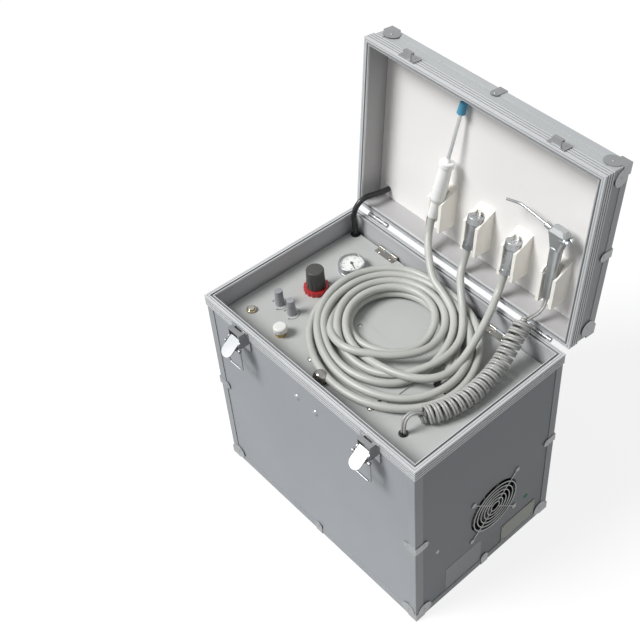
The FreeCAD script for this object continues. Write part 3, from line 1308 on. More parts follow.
def panel_hinge_half(wanted, moving):
    """Both panel hinges' leaves and knuckles on one side: on the panel when moving, else on the rear wall."""
    y, z, clear = PANEL_HINGE.y, PANEL_HINGE.z, PANEL_BARREL_RADIUS + PANEL_LEAF_GAP
    half = PANEL_HINGE_LENGTH / 2
    if moving:
        leaf_box = (y - PANEL_HINGE_REACH, y - clear, PANEL_TOP, PANEL_TOP + PANEL_HINGE_LEAF)
        tab_box = (y - clear, y, PANEL_TOP, PANEL_TOP + PANEL_HINGE_LEAF)
    else:
        leaf_box = (IN_Y - PANEL_HINGE_LEAF, IN_Y, z - PANEL_HINGE_DROP, z - clear)
        tab_box = (IN_Y - PANEL_HINGE_LEAF, IN_Y, z - clear, z)
    halves = []
    for centre in PANEL_HINGE_CENTRES:
        pieces, bores = [block(centre - half, centre + half, *leaf_box)], []
        for start, length, barrel, bore in knuckles(
            centre, PANEL_HINGE_LENGTH, 3, wanted, PANEL_HINGE, PANEL_BARREL_RADIUS, PANEL_PIN_RADIUS
        ):
            pieces += [barrel, block(start, start + length, *tab_box)]
            bores.append(bore)
        if moving:
            for way in (-1, 1):
                spot = (centre + way * PANEL_HINGE_SCREW, y - PANEL_HINGE_REACH + 4, leaf_box[3])
                pieces.append(dome(spot, Z, SCREW_HEAD_RADIUS, SCREW_HEAD_HEIGHT))
        whole = joined(pieces)
        for bore in bores:
            whole = whole.cut(bore)
        halves.append(whole)
    return halves


def panel_hinge_fixed():
    low = Vector(-PANEL_HINGE_LENGTH / 2, PANEL_HINGE.y, PANEL_HINGE.z)
    pins = [rod(low + X * centre, X, PANEL_PIN_RADIUS, PANEL_HINGE_LENGTH) for centre in PANEL_HINGE_CENTRES]
    return panel_hinge_half((1,), False) + pins


def panel_ledge():
    """Angle strips on the walls that the front and sides of the panel rest on."""
    high = PANEL_UNDER - SEAT_GAP
    low = high - LEDGE_SHEET
    rear = IN_Y - LEDGE_FROM_REAR
    front_end = IN_X - LEDGE_WIDTH - LEDGE_JOINT
    return [
        block(-IN_X, -IN_X + LEDGE_WIDTH, -IN_Y, rear, low, high),
        block(IN_X - LEDGE_WIDTH, IN_X, -IN_Y, rear, low, high),
        block(-front_end, front_end, -IN_Y, -IN_Y + LEDGE_WIDTH, low, high),
    ]


def panel_seat():
    return group(panel_ledge() + panel_hinge_fixed())


def bottle_hatch():
    low = panel_spot(HATCH_FROM_LEFT, HATCH_FROM_FRONT)
    plate = block(
        low.x, low.x + HATCH_LENGTH, low.y, low.y + HATCH_DEPTH, PANEL_TOP, PANEL_TOP + HATCH_SHEET
    )
    plate = rounded(plate, HATCH_ROUND, lambda c: abs(c.z - PANEL_TOP - HATCH_SHEET / 2) < 0.01)
    return plate


def panel_screws():
    """The dome screws near the front of the panel and the four in the hatch."""
    low = panel_spot(HATCH_FROM_LEFT, HATCH_FROM_FRONT)
    screws = [dome(place, Z, DOME_SCREW_RADIUS, DOME_SCREW_HEIGHT) for place in DOME_SCREWS]
    for x in (low.x + HATCH_SCREW_INSET, low.x + HATCH_LENGTH - HATCH_SCREW_INSET):
        for y in (low.y + HATCH_SCREW_INSET, low.y + HATCH_DEPTH - HATCH_SCREW_INSET):
            screws.append(dome((x, y, PANEL_TOP + HATCH_SHEET), Z, SCREW_HEAD_RADIUS, SCREW_HEAD_HEIGHT))
    return screws


def switch_bezel():
    ring = rod(SWITCH, Z, SWITCH_RADIUS, SWITCH_HEIGHT)
    ring = rounded(ring, 1.0, lambda c: c.z > PANEL_TOP + SWITCH_HEIGHT - 0.01)
    return ring.cut(rod(SWITCH - Z, Z, BUTTON_RADIUS + 0.2, SWITCH_HEIGHT + 2))


def start_button():
    low = SWITCH - Z * BUTTON_DEPTH
    button = rod(low, Z, BUTTON_RADIUS, BUTTON_DEPTH + BUTTON_HEIGHT)
    return rounded(button, 1.2, lambda c: c.z > PANEL_TOP + BUTTON_HEIGHT - 0.01)


def small_knob(index):
    place = SMALL_KNOBS[index]
    low = place + Z * SEAT_GAP
    knob = cone(low, Z, SMALL_KNOB_RADIUS, SMALL_KNOB_TOP_RADIUS, SMALL_KNOB_HEIGHT)
    knob = rounded(knob, 0.8, lambda c: c.z > PANEL_TOP + SMALL_KNOB_HEIGHT)
    lean = (SMALL_KNOB_RADIUS - SMALL_KNOB_TOP_RADIUS) / SMALL_KNOB_HEIGHT
    for number in range(SMALL_KNOB_FLUTES):
        angle = number * 2 * pi / SMALL_KNOB_FLUTES
        way = Vector(cos(angle), sin(angle), 0)
        start = place + way * (SMALL_KNOB_RADIUS + 0.1) + Z * SMALL_KNOB_FLUTE_UP
        knob = knob.cut(rod(start, Z - way * lean, SMALL_KNOB_FLUTE_RADIUS, SMALL_KNOB_HEIGHT))
    shaft = rod(place - Z * SMALL_KNOB_SHAFT, Z, SMALL_KNOB_SHAFT_RADIUS, SMALL_KNOB_SHAFT + 2)
    return joined([knob, shaft])


def water_valve_nut():
    corners = [Vector(cos(k * pi / 3), sin(k * pi / 3), 0) * VALVE_NUT_RADIUS + VALVE for k in range(7)]
    nut = Part.Face(Part.makePolygon(corners)).extrude(Z * VALVE_NUT_HEIGHT)
    collar = rod(VALVE, Z, VALVE_COLLAR_RADIUS, VALVE_COLLAR_TOP)
    return joined([nut, collar]).cut(rod(VALVE - Z, Z, VALVE_STEM_RADIUS + 0.2, VALVE_COLLAR_TOP + 2))


def water_valve_knob():
    cap_low = VALVE_COLLAR_TOP + SEAT_GAP
    stem = rod(VALVE - Z * VALVE_STEM_DEPTH, Z, VALVE_STEM_RADIUS, VALVE_STEM_DEPTH + cap_low)
    cap = rod(VALVE + Z * cap_low, Z, VALVE_CAP_RADIUS, VALVE_CAP_HEIGHT)
    top = PANEL_TOP + cap_low + VALVE_CAP_HEIGHT
    cap = rounded(cap, VALVE_CAP_ROUND, lambda c: c.z > top - 0.01)
    return joined([stem, cap])


def regulator_ring():
    ring = rod(REGULATOR + Z * SEAT_GAP, Z, REGULATOR_RING_RADIUS, REGULATOR_RING_HEIGHT)
    for number in range(REGULATOR_RING_LOBES):
        angle = number * 2 * pi / REGULATOR_RING_LOBES
        way = Vector(cos(angle), sin(angle), 0) * (REGULATOR_RING_RADIUS + REGULATOR_SCALLOP_OUT)
        ring = ring.cut(rod(REGULATOR + way, Z, REGULATOR_SCALLOP_RADIUS, REGULATOR_RING_HEIGHT + 1))
    ring = ring.cut(rod(REGULATOR, Z, REGULATOR_NECK_RADIUS + 0.2, REGULATOR_RING_HEIGHT + 2))
    return ring


def regulator_knob():
    low = REGULATOR + Z * (REGULATOR_RING_HEIGHT + 2 * SEAT_GAP)
    knob = cone(low, Z, REGULATOR_KNOB_RADIUS, REGULATOR_KNOB_TOP_RADIUS, REGULATOR_KNOB_HEIGHT)
    top = low.z + REGULATOR_KNOB_HEIGHT
    knob = rounded(knob, 1.5, lambda c: c.z > top - 0.01)
    for number in range(REGULATOR_FLUTES):
        angle = number * 2 * pi / REGULATOR_FLUTES
        way = Vector(cos(angle), sin(angle), 0) * (REGULATOR_KNOB_RADIUS + REGULATOR_FLUTE_OUT)
        flute = rod(low + way + Z * REGULATOR_FLUTE_UP, Z, REGULATOR_FLUTE_RADIUS, REGULATOR_KNOB_HEIGHT)
        knob = knob.cut(flute)
    return knob.cut(rod(low - Z, Z, REGULATOR_NECK_RADIUS + 0.2, REGULATOR_NECK_UP + 2))


def regulator_body():
    """The pressure regulator under the panel, with the threaded neck that its knob turns on."""
    depth, radius = PANEL_SHEET + REGULATOR_BODY_DEPTH, REGULATOR_BODY_RADIUS
    body = rod(REGULATOR - Z * depth, Z, radius, REGULATOR_BODY_DEPTH)
    neck_top = REGULATOR_RING_HEIGHT + 2 * SEAT_GAP + REGULATOR_NECK_UP
    neck = rod(REGULATOR - Z * PANEL_SHEET, Z, REGULATOR_NECK_RADIUS, PANEL_SHEET + neck_top)
    port_reach = radius + REGULATOR_PORT_OUT
    port_start = REGULATOR - Vector(port_reach, 0, PANEL_SHEET + REGULATOR_BODY_DEPTH * 0.6)
    return joined([body, neck, rod(port_start, X, REGULATOR_PORT_RADIUS, 2 * port_reach)])


def pressure_gauge():
    top = PANEL_TOP + GAUGE_HEIGHT
    flange = rod(GAUGE, Z, GAUGE_RADIUS, GAUGE_FLANGE)
    bezel_height = GAUGE_HEIGHT - GAUGE_FLANGE
    bezel = cone(GAUGE + Z * GAUGE_FLANGE, Z, GAUGE_RADIUS - 0.6, GAUGE_BEZEL_RADIUS, bezel_height)
    bezel = rounded(bezel, 1.0, lambda c: c.z > top - 0.01)
    depth = PANEL_SHEET + GAUGE_BODY_DEPTH
    body = rod(GAUGE - Z * depth, Z, GAUGE_BODY_RADIUS, depth)
    stem = rod(GAUGE - Z * (depth + GAUGE_STEM), Z, GAUGE_STEM_RADIUS, GAUGE_STEM)
    dial = Vector(GAUGE.x, GAUGE.y, top - GAUGE_RECESS)
    recess = rod(dial, Z, GAUGE_BEZEL_RADIUS - GAUGE_BEZEL_WALL, GAUGE_RECESS + 1)
    post_low = dial - Z * NEEDLE_POST_DEPTH
    post_hole = rod(post_low, Z, NEEDLE_POST_RADIUS + PIN_CLEARANCE, NEEDLE_POST_DEPTH + 1)
    return joined([flange, bezel, body, stem]).cut(recess).cut(post_hole)


def gauge_needle():
    arm = block(-NEEDLE_TAIL, NEEDLE_LENGTH, -NEEDLE_WIDTH / 2, NEEDLE_WIDTH / 2, 0, NEEDLE_THICKNESS)
    hub = rod((0, 0, 0), Z, NEEDLE_HUB_RADIUS, 2 * NEEDLE_THICKNESS)
    post_length = NEEDLE_POST_DEPTH + NEEDLE_LIFT
    post = rod((0, 0, -post_length + SEAT_GAP), Z, NEEDLE_POST_RADIUS, post_length)
    needle = turned(joined([arm, hub, post]), (0, 0, 0), Z, NEEDLE_ANGLE)
    needle.translate(Vector(GAUGE.x, GAUGE.y, PANEL_TOP + GAUGE_HEIGHT - GAUGE_RECESS + NEEDLE_LIFT))
    return needle


def lift_knob():
    """The turn knob that holds the panel down, with its cam under the panel turned clear of the ledge."""
    x, y = LIFT_KNOB.x, LIFT_KNOB.y
    base = rod(LIFT_KNOB + Z * SEAT_GAP, Z, LIFT_KNOB_RADIUS - 1.2, LIFT_KNOB_BASE)
    ball = Part.makeSphere(LIFT_KNOB_RADIUS, LIFT_KNOB + Z * (LIFT_KNOB_HEIGHT - LIFT_KNOB_RADIUS))
    ball = ball.common(rod(LIFT_KNOB + Z * (LIFT_KNOB_BASE - 1), Z, 2 * LIFT_KNOB_RADIUS, LIFT_KNOB_HEIGHT))
    cam_top = PANEL_UNDER - LEDGE_SHEET - 2 * SEAT_GAP
    cam_low, half = cam_top - LIFT_CAM_SHEET, LIFT_CAM_WIDTH / 2
    shaft = rod((x, y, cam_low), Z, LIFT_SHAFT_RADIUS, PANEL_TOP + LIFT_KNOB_BASE - cam_low)
    cam = block(x - LIFT_SHAFT_RADIUS - 1, x + LIFT_CAM_LENGTH, y - half, y + half, cam_low, cam_top)
    return joined([base, ball, shaft, cam])


def panel_fittings():
    fixed = panel_grommets() + panel_screws() + panel_hinge_half((0, 2), True)
    return group(fixed + [switch_bezel(), water_valve_nut(), regulator_body()])


# ---- hoses and cords ---------------------------------------------------------------------------------------
def coil_low():
    """The level of the underside of the wound hoses, just clear of the hatch's screws."""
    return PANEL_TOP + HATCH_SHEET + SCREW_HEAD_HEIGHT + SEAT_GAP


def hose_coil():
    """The outer shape of the three hoses wound together on the panel: a wide oval ring with an open eye."""
    low = Vector(COIL_CENTRE[0], COIL_CENTRE[1], coil_low())
    ellipse = Part.Ellipse(Vector(0, 0, 0), COIL_SEMI_AXES[0], COIL_SEMI_AXES[1]).toShape()
    disc = rounded(Part.Face(Part.Wire(ellipse)).extrude(Z * COIL_HEIGHT), COIL_ROUND, lambda c: True)
    disc = turned(disc, (0, 0, 0), Z, COIL_TURN)
    disc.translate(low)
    eye_low = Vector(COIL_EYE_CENTRE[0], COIL_EYE_CENTRE[1], low.z - 1)
    return disc.cut(rod(eye_low, Z, COIL_EYE_RADIUS, COIL_HEIGHT + 2))


SCALER_HOSE_POINTS = [
    (-17, 90, 319),
    (-22.5, 101, 337),
    (-35, 118, 347),
    (-51.5, 133.5, 355.5),
]
TURBINE_HOSE_1_POINTS = [
    (41, 84, 316),
    (35, 97, 330),
    (26, 113, 341),
    (14, 130.5, 347),
]
TURBINE_HOSE_2_POINTS = [
    (110, 44, 322),
    (107, 63, 335),
    (100, 86, 342),
    (90, 109, 344),
    (79.5, 130, 347),
]
SYRINGE_LEAD_POINTS = [
    (130.5, -84, 300),
    (130.5, -84, 312),
    (129, -80, 322),
    (130, -70.5, 326),
    (133, -62, 322),
    (135, -55.5, 318),
]
SYRINGE_CURL_POINTS = [
    (133, -58, 312.5),
    (142, -42, 312.4),
    (150, -18, 312.6),
    (152.5, 8, 312.4),
    (151, 36, 313.5),
    (148, 62, 318.5),
    (144.5, 84, 330),
    (141, 104, 345),
    (139.5, 122, 355.5),
]
SYRINGE_TAIL_POINTS = [
    (139.5, 122, 355.5),
    (141, 133, 355.2),
    (142, 144, 357.5),
]
LID_CABLE_POINTS = [
    (-181.5, 115, 300),
    (-181.5, 115, 318),
    (-180.5, 112, 336),
    (-179.0, 117, 352),
    (-177.0, 131, 362),
]


def tail_of(name, drop):
    """A point on the axis of an instrument, below its seat, carried into the open lid."""
    point = instrument_placement(name).multVec(Vector(0, 0, -drop))
    mark = Part.Vertex(point)
    mark.rotate(HINGE, X, -LID_OPEN_ANGLE)
    return (mark.Point.x, mark.Point.y, mark.Point.z)


def from_coil(tube):
    """The part of a hose that stands above the coil, cut off level with the coil's top."""
    top = coil_low() + COIL_HEIGHT
    return tube.cut(block(-HALF_X, HALF_X, -HALF_Y, HALF_Y, top - 4 * HOSE_DIAMETER, top))


def into_instrument(name, length, run):
    """The last two points of a hose: straight along the axis of its instrument and up to its end."""
    return [tail_of(name, length + run), tail_of(name, length)]


def scaler_hose():
    points = SCALER_HOSE_POINTS + into_instrument("scaler", SCALER_TAIL, HOSE_LAST_RUN)
    return from_coil(path_tube(points, HOSE_DIAMETER))


def turbine_hose(number):
    points = (TURBINE_HOSE_1_POINTS, TURBINE_HOSE_2_POINTS)[number - 1]
    points = points + into_instrument("coupling_%d" % number, COUPLING_TAIL, HOSE_LAST_RUN)
    return from_coil(path_tube(points, HOSE_DIAMETER))


def syringe_cord_lead():
    return path_tube(SYRINGE_LEAD_POINTS, CORD_TUBE_DIAMETER).cut(syringe_cord_curl())


def syringe_cord_curl():
    return path_tube(SYRINGE_CURL_POINTS, CURL_DIAMETER)


def syringe_cord_tail():
    points = SYRINGE_TAIL_POINTS + into_instrument("syringe", SYRINGE_TAIL, CORD_LAST_RUN)
    return path_tube(points, CORD_TUBE_DIAMETER).cut(syringe_cord_curl())


def lid_cable_point(depth):
    """A point on the line where the cable goes into the lining, carried into the open lid."""
    mark = Part.Vertex(in_lid(LID_CABLE_INLET[0] - HALF_X, LID_CABLE_INLET[1], depth))
    mark.rotate(HINGE, X, -LID_OPEN_ANGLE)
    return (mark.Point.x, mark.Point.y, mark.Point.z)


def lid_cable():
    ends = [lid_cable_point(LINER_DEPTH - LID_CABLE_LAST_RUN), lid_cable_point(LINER_DEPTH)]
    return path_tube(LID_CABLE_POINTS + ends, CABLE_DIAMETER)


# ---- fan ---------------------------------------------------------------------------------------------------
def fan_hole_offsets():
    half = FAN_HOLE_PITCH / 2
    return [(sy * half, sz * half) for sy in (-1, 1) for sz in (-1, 1)]


def fan_housing():
    """The square fan frame on the inside of the right wall, with a motor plate on four struts."""
    centre = fan_centre(IN_X - FAN_THICKNESS)
    half = FAN_SIZE / 2
    body = block(centre.x, IN_X, FAN_Y - half, FAN_Y + half, FAN_HEIGHT - half, FAN_HEIGHT + half)
    body = rounded(body, FAN_CORNER_ROUND, lambda c: abs(c.x - IN_X + FAN_THICKNESS / 2) < 0.01)
    body = body.cut(rod(centre - X, X, FAN_BORE_RADIUS, FAN_THICKNESS + 2))
    for dy, dz in fan_hole_offsets():
        body = body.cut(rod(centre + Vector(-1, dy, dz), X, FAN_HOLE_RADIUS, FAN_THICKNESS + 2))
    pieces = [body, rod(centre, X, FAN_HUB_RADIUS, FAN_PLATE)]
    for angle in (45, 135, 225, 315):
        low, high = FAN_HEIGHT + FAN_SHAFT_RADIUS * 2, FAN_HEIGHT + FAN_BORE_RADIUS + 1
        front, rear = FAN_Y - FAN_STRUT_HALF, FAN_Y + FAN_STRUT_HALF
        strut = block(centre.x, centre.x + FAN_PLATE, front, rear, low, high)
        pieces.append(turned(strut, centre, X, angle))
    return joined(pieces).cut(rod(centre - X, X, FAN_SHAFT_RADIUS + PIN_CLEARANCE, 2 * FAN_PLATE))


def fan_rotor():
    """The fan's hub with its pitched blades and the shaft that runs in the motor plate."""
    shaft = rod(fan_centre(IN_X - FAN_THICKNESS), X, FAN_SHAFT_RADIUS, FAN_PLATE + 1)
    centre = fan_centre(IN_X - FAN_THICKNESS + FAN_PLATE + SEAT_GAP)
    blades, half = [], FAN_BLADE_SHEET / 2
    for number in range(FAN_BLADES):
        blade = block(-half, half, -FAN_HUB_LENGTH, FAN_HUB_LENGTH, FAN_HUB_RADIUS - 3, FAN_SIZE / 2)
        blade = turned(blade, (0, 0, 0), Z, FAN_BLADE_PITCH)
        blade.translate(Vector(FAN_HUB_LENGTH / 2, 0, 0))
        blade = turned(blade, (0, 0, 0), X, number * 360 / FAN_BLADES)
        blade.translate(centre)
        blades.append(blade.common(rod(centre, X, FAN_BLADE_REACH, FAN_HUB_LENGTH)))
    return joined([rod(centre, X, FAN_HUB_RADIUS, FAN_HUB_LENGTH), shaft] + blades)


def guard_screws():
    """The four screws that hold the wire guard and the fan frame to the wall."""
    screws = []
    length = OUT_X + GUARD_EYE_SHEET - IN_X
    for dy, dz in fan_hole_offsets():
        low = fan_centre(IN_X) + Vector(0, dy, dz)
        head = dome(low + X * length, X, GUARD_HEAD_RADIUS, GUARD_HEAD_HEIGHT)
        screws.append(joined([head, rod(low, X, FAN_HOLE_RADIUS - SHANK_CLEARANCE, length)]))
    return screws


def fan_guard():
    """The chromed wire guard outside: rings on two crossed pairs of spokes that end in screwed eyes."""
    centre = fan_centre(OUT_X + GUARD_WIRE + GUARD_LIFT)
    rings = [Part.makeTorus(radius, GUARD_WIRE, centre + X * GUARD_RING_LIFT, X) for radius in GUARD_RINGS]
    arms, holes = [], []
    for dy, dz in fan_hole_offsets():
        way = Vector(0, dy, dz)
        place = fan_centre(OUT_X) + way
        reach = way.Length - GUARD_RINGS[0] - GUARD_HEAD_RADIUS - SHANK_CLEARANCE
        way.normalize()
        arms.append(rod(place, X, GUARD_EYE_RADIUS, GUARD_EYE_SHEET))
        arms.append(rod(centre + way * GUARD_RINGS[0], way, GUARD_WIRE, reach))
        holes.append(rod(place - X, X, FAN_HOLE_RADIUS, 2 * GUARD_EYE_RADIUS))
    guard = joined(arms + rings)
    for hole in holes:
        guard = guard.cut(hole)
    return guard


# ---- compressor --------------------------------------------------------------------------------------------
def motor_axis(x):
    return Vector(COMPRESSOR_X + x, COMPRESSOR_Y, MOTOR_AXIS_HEIGHT)


def cylinder_unit(side):
    """One end of the compressor: a crankcase with its finned cylinder and head, hollow inside."""
    inner = motor_axis(side * MOTOR_LENGTH / 2)
    middle = motor_axis(side * (MOTOR_LENGTH + CRANKCASE_LENGTH) / 2)
    half, deep = CRANKCASE_LENGTH / 2 - 1, CYLINDER_FIN_REACH
    left, right, front, rear = middle.x - half, middle.x + half, middle.y - deep, middle.y + deep
    head_low = middle.z + CRANKCASE_RADIUS + CYLINDER_HEIGHT
    pieces = [
        rod(inner, X * side, CRANKCASE_RADIUS, CRANKCASE_LENGTH),
        rod(middle + Z * CYLINDER_FOOT, Z, CYLINDER_RADIUS, head_low - middle.z - CYLINDER_FOOT),
        block(left, right, front, rear, head_low, head_low + HEAD_HEIGHT),
    ]
    for number in range(CYLINDER_FINS):
        level = head_low - (number + 1) * CYLINDER_FIN_PITCH
        pieces.append(block(left, right, front, rear, level, level + CYLINDER_FIN_SHEET))
    room = rod(inner + X * side * CASTING_WALL, X * side, CRANKCASE_RADIUS - CASTING_WALL, CRANKCASE_ROOM)
    bore = rod(middle, Z, PISTON_RADIUS + PISTON_CLEARANCE, head_low - middle.z)
    return joined(pieces).cut(room).cut(bore)


def compressor_castings():
    """The motor barrel between its two cylinder units, bored for the shaft."""
    barrel = rod(motor_axis(-MOTOR_LENGTH / 2), X, MOTOR_RADIUS, MOTOR_LENGTH)
    hollow_half = MOTOR_LENGTH / 2 - CASTING_WALL
    barrel = barrel.cut(rod(motor_axis(-hollow_half), X, MOTOR_RADIUS - CASTING_WALL, 2 * hollow_half))
    whole = joined([barrel, cylinder_unit(-1), cylinder_unit(1)])
    bore_start = motor_axis(-CRANKCASE_HALF - 1)
    return whole.cut(rod(bore_start, X, SHAFT_RADIUS + PIN_CLEARANCE, 2 * CRANKCASE_HALF + 2))


def compressor_feet():
    """Four rubber mounts and the two cradle bars that carry the motor barrel."""
    made = []
    barrel = rod(motor_axis(-MOTOR_LENGTH), X, MOTOR_RADIUS, 2 * MOTOR_LENGTH)
    low = BOARD + MOUNT_HEIGHT
    front, rear = COMPRESSOR_Y - CRADLE_HALF_DEPTH, COMPRESSOR_Y + CRADLE_HALF_DEPTH
    for side in (-1, 1):
        x = COMPRESSOR_X + side * MOUNT_REACH.x
        bar = block(x - CRADLE_HALF_WIDTH, x + CRADLE_HALF_WIDTH, front, rear, low, low + CRADLE_HEIGHT)
        made.append(bar.cut(barrel))
        for sy in (-1, 1):
            made.append(rod((x, COMPRESSOR_Y + sy * MOUNT_REACH.y, BOARD), Z, MOUNT_RADIUS, MOUNT_HEIGHT))
    return made


def compressor_block():
    return group([compressor_castings()] + compressor_feet())


def cooling_fan(side):
    """The small fan outside one crankcase: a hub with flat vanes."""
    start = motor_axis(CRANKCASE_HALF + 1 if side > 0 else -CRANKCASE_HALF - 1 - COOLING_FAN_LENGTH)
    pieces = [rod(start, X, COOLING_HUB_RADIUS, COOLING_FAN_LENGTH)]
    for number in range(COOLING_VANES):
        half = COOLING_VANE_HALF
        vane = block(0, COOLING_FAN_LENGTH, -half, half, SHAFT_RADIUS + 1, COOLING_FAN_RADIUS)
        vane = turned(vane, (0, 0, 0), X, number * 360 / COOLING_VANES)
        vane.translate(start)
        pieces.append(vane)
    return pieces


def compressor_shaft():
    """The motor shaft with its rotor, an eccentric at each end and a cooling fan outside each crankcase."""
    overhang = COOLING_FAN_LENGTH + 1
    rotor_half = MOTOR_LENGTH / 2 - ROTOR_END_GAP
    pieces = [
        rod(motor_axis(-CRANKCASE_HALF - overhang), X, SHAFT_RADIUS, 2 * (CRANKCASE_HALF + overhang)),
        rod(motor_axis(-rotor_half), X, ROTOR_RADIUS, 2 * rotor_half),
    ]
    for side in (-1, 1):
        middle = side * (MOTOR_LENGTH + CRANKCASE_LENGTH) / 2
        start = motor_axis(middle - CRANK_LENGTH / 2) + Z * CRANK_THROW * side
        pieces.append(rod(start, X, CRANK_RADIUS, CRANK_LENGTH))
        pieces += cooling_fan(side)
    return joined(pieces)


def piston(side):
    """One piston cup in its cylinder, with its rod's foot held clear of the eccentric below it."""
    place = motor_axis(side * (MOTOR_LENGTH + CRANKCASE_LENGTH) / 2)
    crown = CRANKCASE_RADIUS + CYLINDER_HEIGHT - PISTON_HEIGHT - PISTON_HEAD_GAP
    cup = rod(place + Z * crown, Z, PISTON_RADIUS, PISTON_HEIGHT)
    foot, half = place.z + CRANK_RADIUS + CRANK_THROW + PISTON_ROD_GAP, PISTON_ROD_WIDTH / 2
    front, rear = place.y - half, place.y + half
    return joined([cup, block(place.x - half, place.x + half, front, rear, foot, place.z + crown)])


def compressor_pistons():
    return group([piston(side) for side in (-1, 1)])


# ---- air, water and power ----------------------------------------------------------------------------------
def air_tank():
    """The air tank on two saddles, with a hose port near each end."""
    z, half = BOARD + TANK_SADDLE + TANK_RADIUS, TANK_LENGTH / 2
    shell = rod((TANK_X - half, TANK_Y, z), X, TANK_RADIUS, TANK_LENGTH)
    shell = rounded(shell, TANK_END_ROUND, lambda c: abs(abs(c.x - TANK_X) - half) < 0.01)
    inner = half - TANK_WALL
    hollow = rod((TANK_X - inner, TANK_Y, z), X, TANK_RADIUS - TANK_WALL, 2 * inner)
    hollow = rounded(hollow, TANK_END_ROUND - TANK_WALL, lambda c: abs(abs(c.x - TANK_X) - inner) < 0.01)
    pieces = [shell]
    for way in (-1, 1):
        x = TANK_X + way * half * TANK_SADDLE_PLACE
        left, right, high = x - TANK_SADDLE_HALF, x + TANK_SADDLE_HALF, z - TANK_RADIUS * TANK_SADDLE_RISE
        front, rear = TANK_Y - TANK_SADDLE_REACH, TANK_Y + TANK_SADDLE_REACH
        pieces.append(block(left, right, front, rear, BOARD, high))
        port = (TANK_X + way * TANK_PORT_REACH, TANK_Y, z + TANK_RADIUS - TANK_PORT_SINK)
        pieces.append(rod(port, Z, TANK_PORT_RADIUS, TANK_PORT_LENGTH))
    return joined(pieces).cut(hollow)


def water_bottle():
    """The clean-water bottle, with its screw cap, dip tube and two hose barbs."""
    place = Vector(BOTTLE_X, BOTTLE_Y, BOARD)
    shoulder_height = BOTTLE_HEIGHT - BOTTLE_SHOULDER
    body = rod(place, Z, BOTTLE_RADIUS, shoulder_height)
    body = rounded(body, BOTTLE_FOOT_ROUND, lambda c: c.z < BOARD + 0.1)
    shoulder = cone(place + Z * shoulder_height, Z, BOTTLE_RADIUS, BOTTLE_NECK_RADIUS, BOTTLE_SHOULDER)
    neck = rod(place + Z * BOTTLE_HEIGHT, Z, BOTTLE_NECK_RADIUS, BOTTLE_NECK_HEIGHT)
    inside = rod(place + Z * BOTTLE_WALL, Z, BOTTLE_RADIUS - BOTTLE_WALL, shoulder_height - BOTTLE_WALL)
    throat_length = BOTTLE_SHOULDER + BOTTLE_NECK_HEIGHT + 2
    throat = rod(place + Z * (shoulder_height - 1), Z, BOTTLE_NECK_RADIUS - BOTTLE_WALL, throat_length)
    bottle = joined([body, shoulder, neck]).cut(inside).cut(throat)
    neck_top = BOTTLE_HEIGHT + BOTTLE_NECK_HEIGHT
    cap_height = BOTTLE_NECK_HEIGHT - 1 + BOTTLE_CAP_SHEET
    skirt = rod(place + Z * (BOTTLE_HEIGHT + 1), Z, BOTTLE_CAP_RADIUS, cap_height)
    skirt = skirt.cut(rod(place + Z * BOTTLE_HEIGHT, Z, BOTTLE_NECK_RADIUS + 0.2, BOTTLE_NECK_HEIGHT))
    cap = [skirt, rod(place + Z * DIP_TUBE_LIFT, Z, DIP_TUBE_RADIUS, neck_top + 1 - DIP_TUBE_LIFT)]
    for way in (-1, 1):
        barb_foot = place + Z * (neck_top + BOTTLE_CAP_SHEET - 1) + X * way * BOTTLE_CAP_RADIUS * 0.4
        cap.append(rod(barb_foot, Z, DIP_TUBE_RADIUS, BOTTLE_BARB))
    return group([bottle, joined(cap)])


def valve_manifold():
    """The air manifold on the rear wall, with three solenoid valves and a water trap."""
    length, depth, height = MANIFOLD
    low, high = MANIFOLD_HEIGHT, MANIFOLD_HEIGHT + height
    middle_y = IN_Y - depth / 2
    pieces = [block(MANIFOLD_X - length / 2, MANIFOLD_X + length / 2, IN_Y - depth, IN_Y, low, high)]
    for number in (-1, 0, 1):
        x = MANIFOLD_X + number * SOLENOID_PITCH
        pieces.append(rod((x, middle_y, high), Z, SOLENOID_RADIUS, SOLENOID_HEIGHT))
        port = (x, IN_Y - depth - MANIFOLD_PORT, low + height / 2)
        pieces.append(rod(port, Y, MANIFOLD_PORT_RADIUS, MANIFOLD_PORT + 1))
    trap = (MANIFOLD_X - SOLENOID_PITCH, middle_y, low - WATER_TRAP_HEIGHT)
    pieces.append(rod(trap, Z, WATER_TRAP_RADIUS, WATER_TRAP_HEIGHT + 1))
    return joined(pieces)


def scaler_driver():
    """The power supply and scaler driver: a laminated core with its winding, beside the air tank."""
    length, depth, height = DRIVER
    x, y, winding_half = DRIVER_X, DRIVER_Y, length / 4
    core_half = depth / 2 - DRIVER_WINDING_PROUD
    core = block(x - length / 2, x + length / 2, y - core_half, y + core_half, BOARD, BOARD + height)
    low, high = BOARD + DRIVER_WINDING_INSET, BOARD + height - DRIVER_WINDING_INSET
    winding = block(x - winding_half, x + winding_half, y - depth / 2, y + depth / 2, low, high)
    return joined([core, rounded(winding, DRIVER_WINDING_ROUND, lambda c: True)])


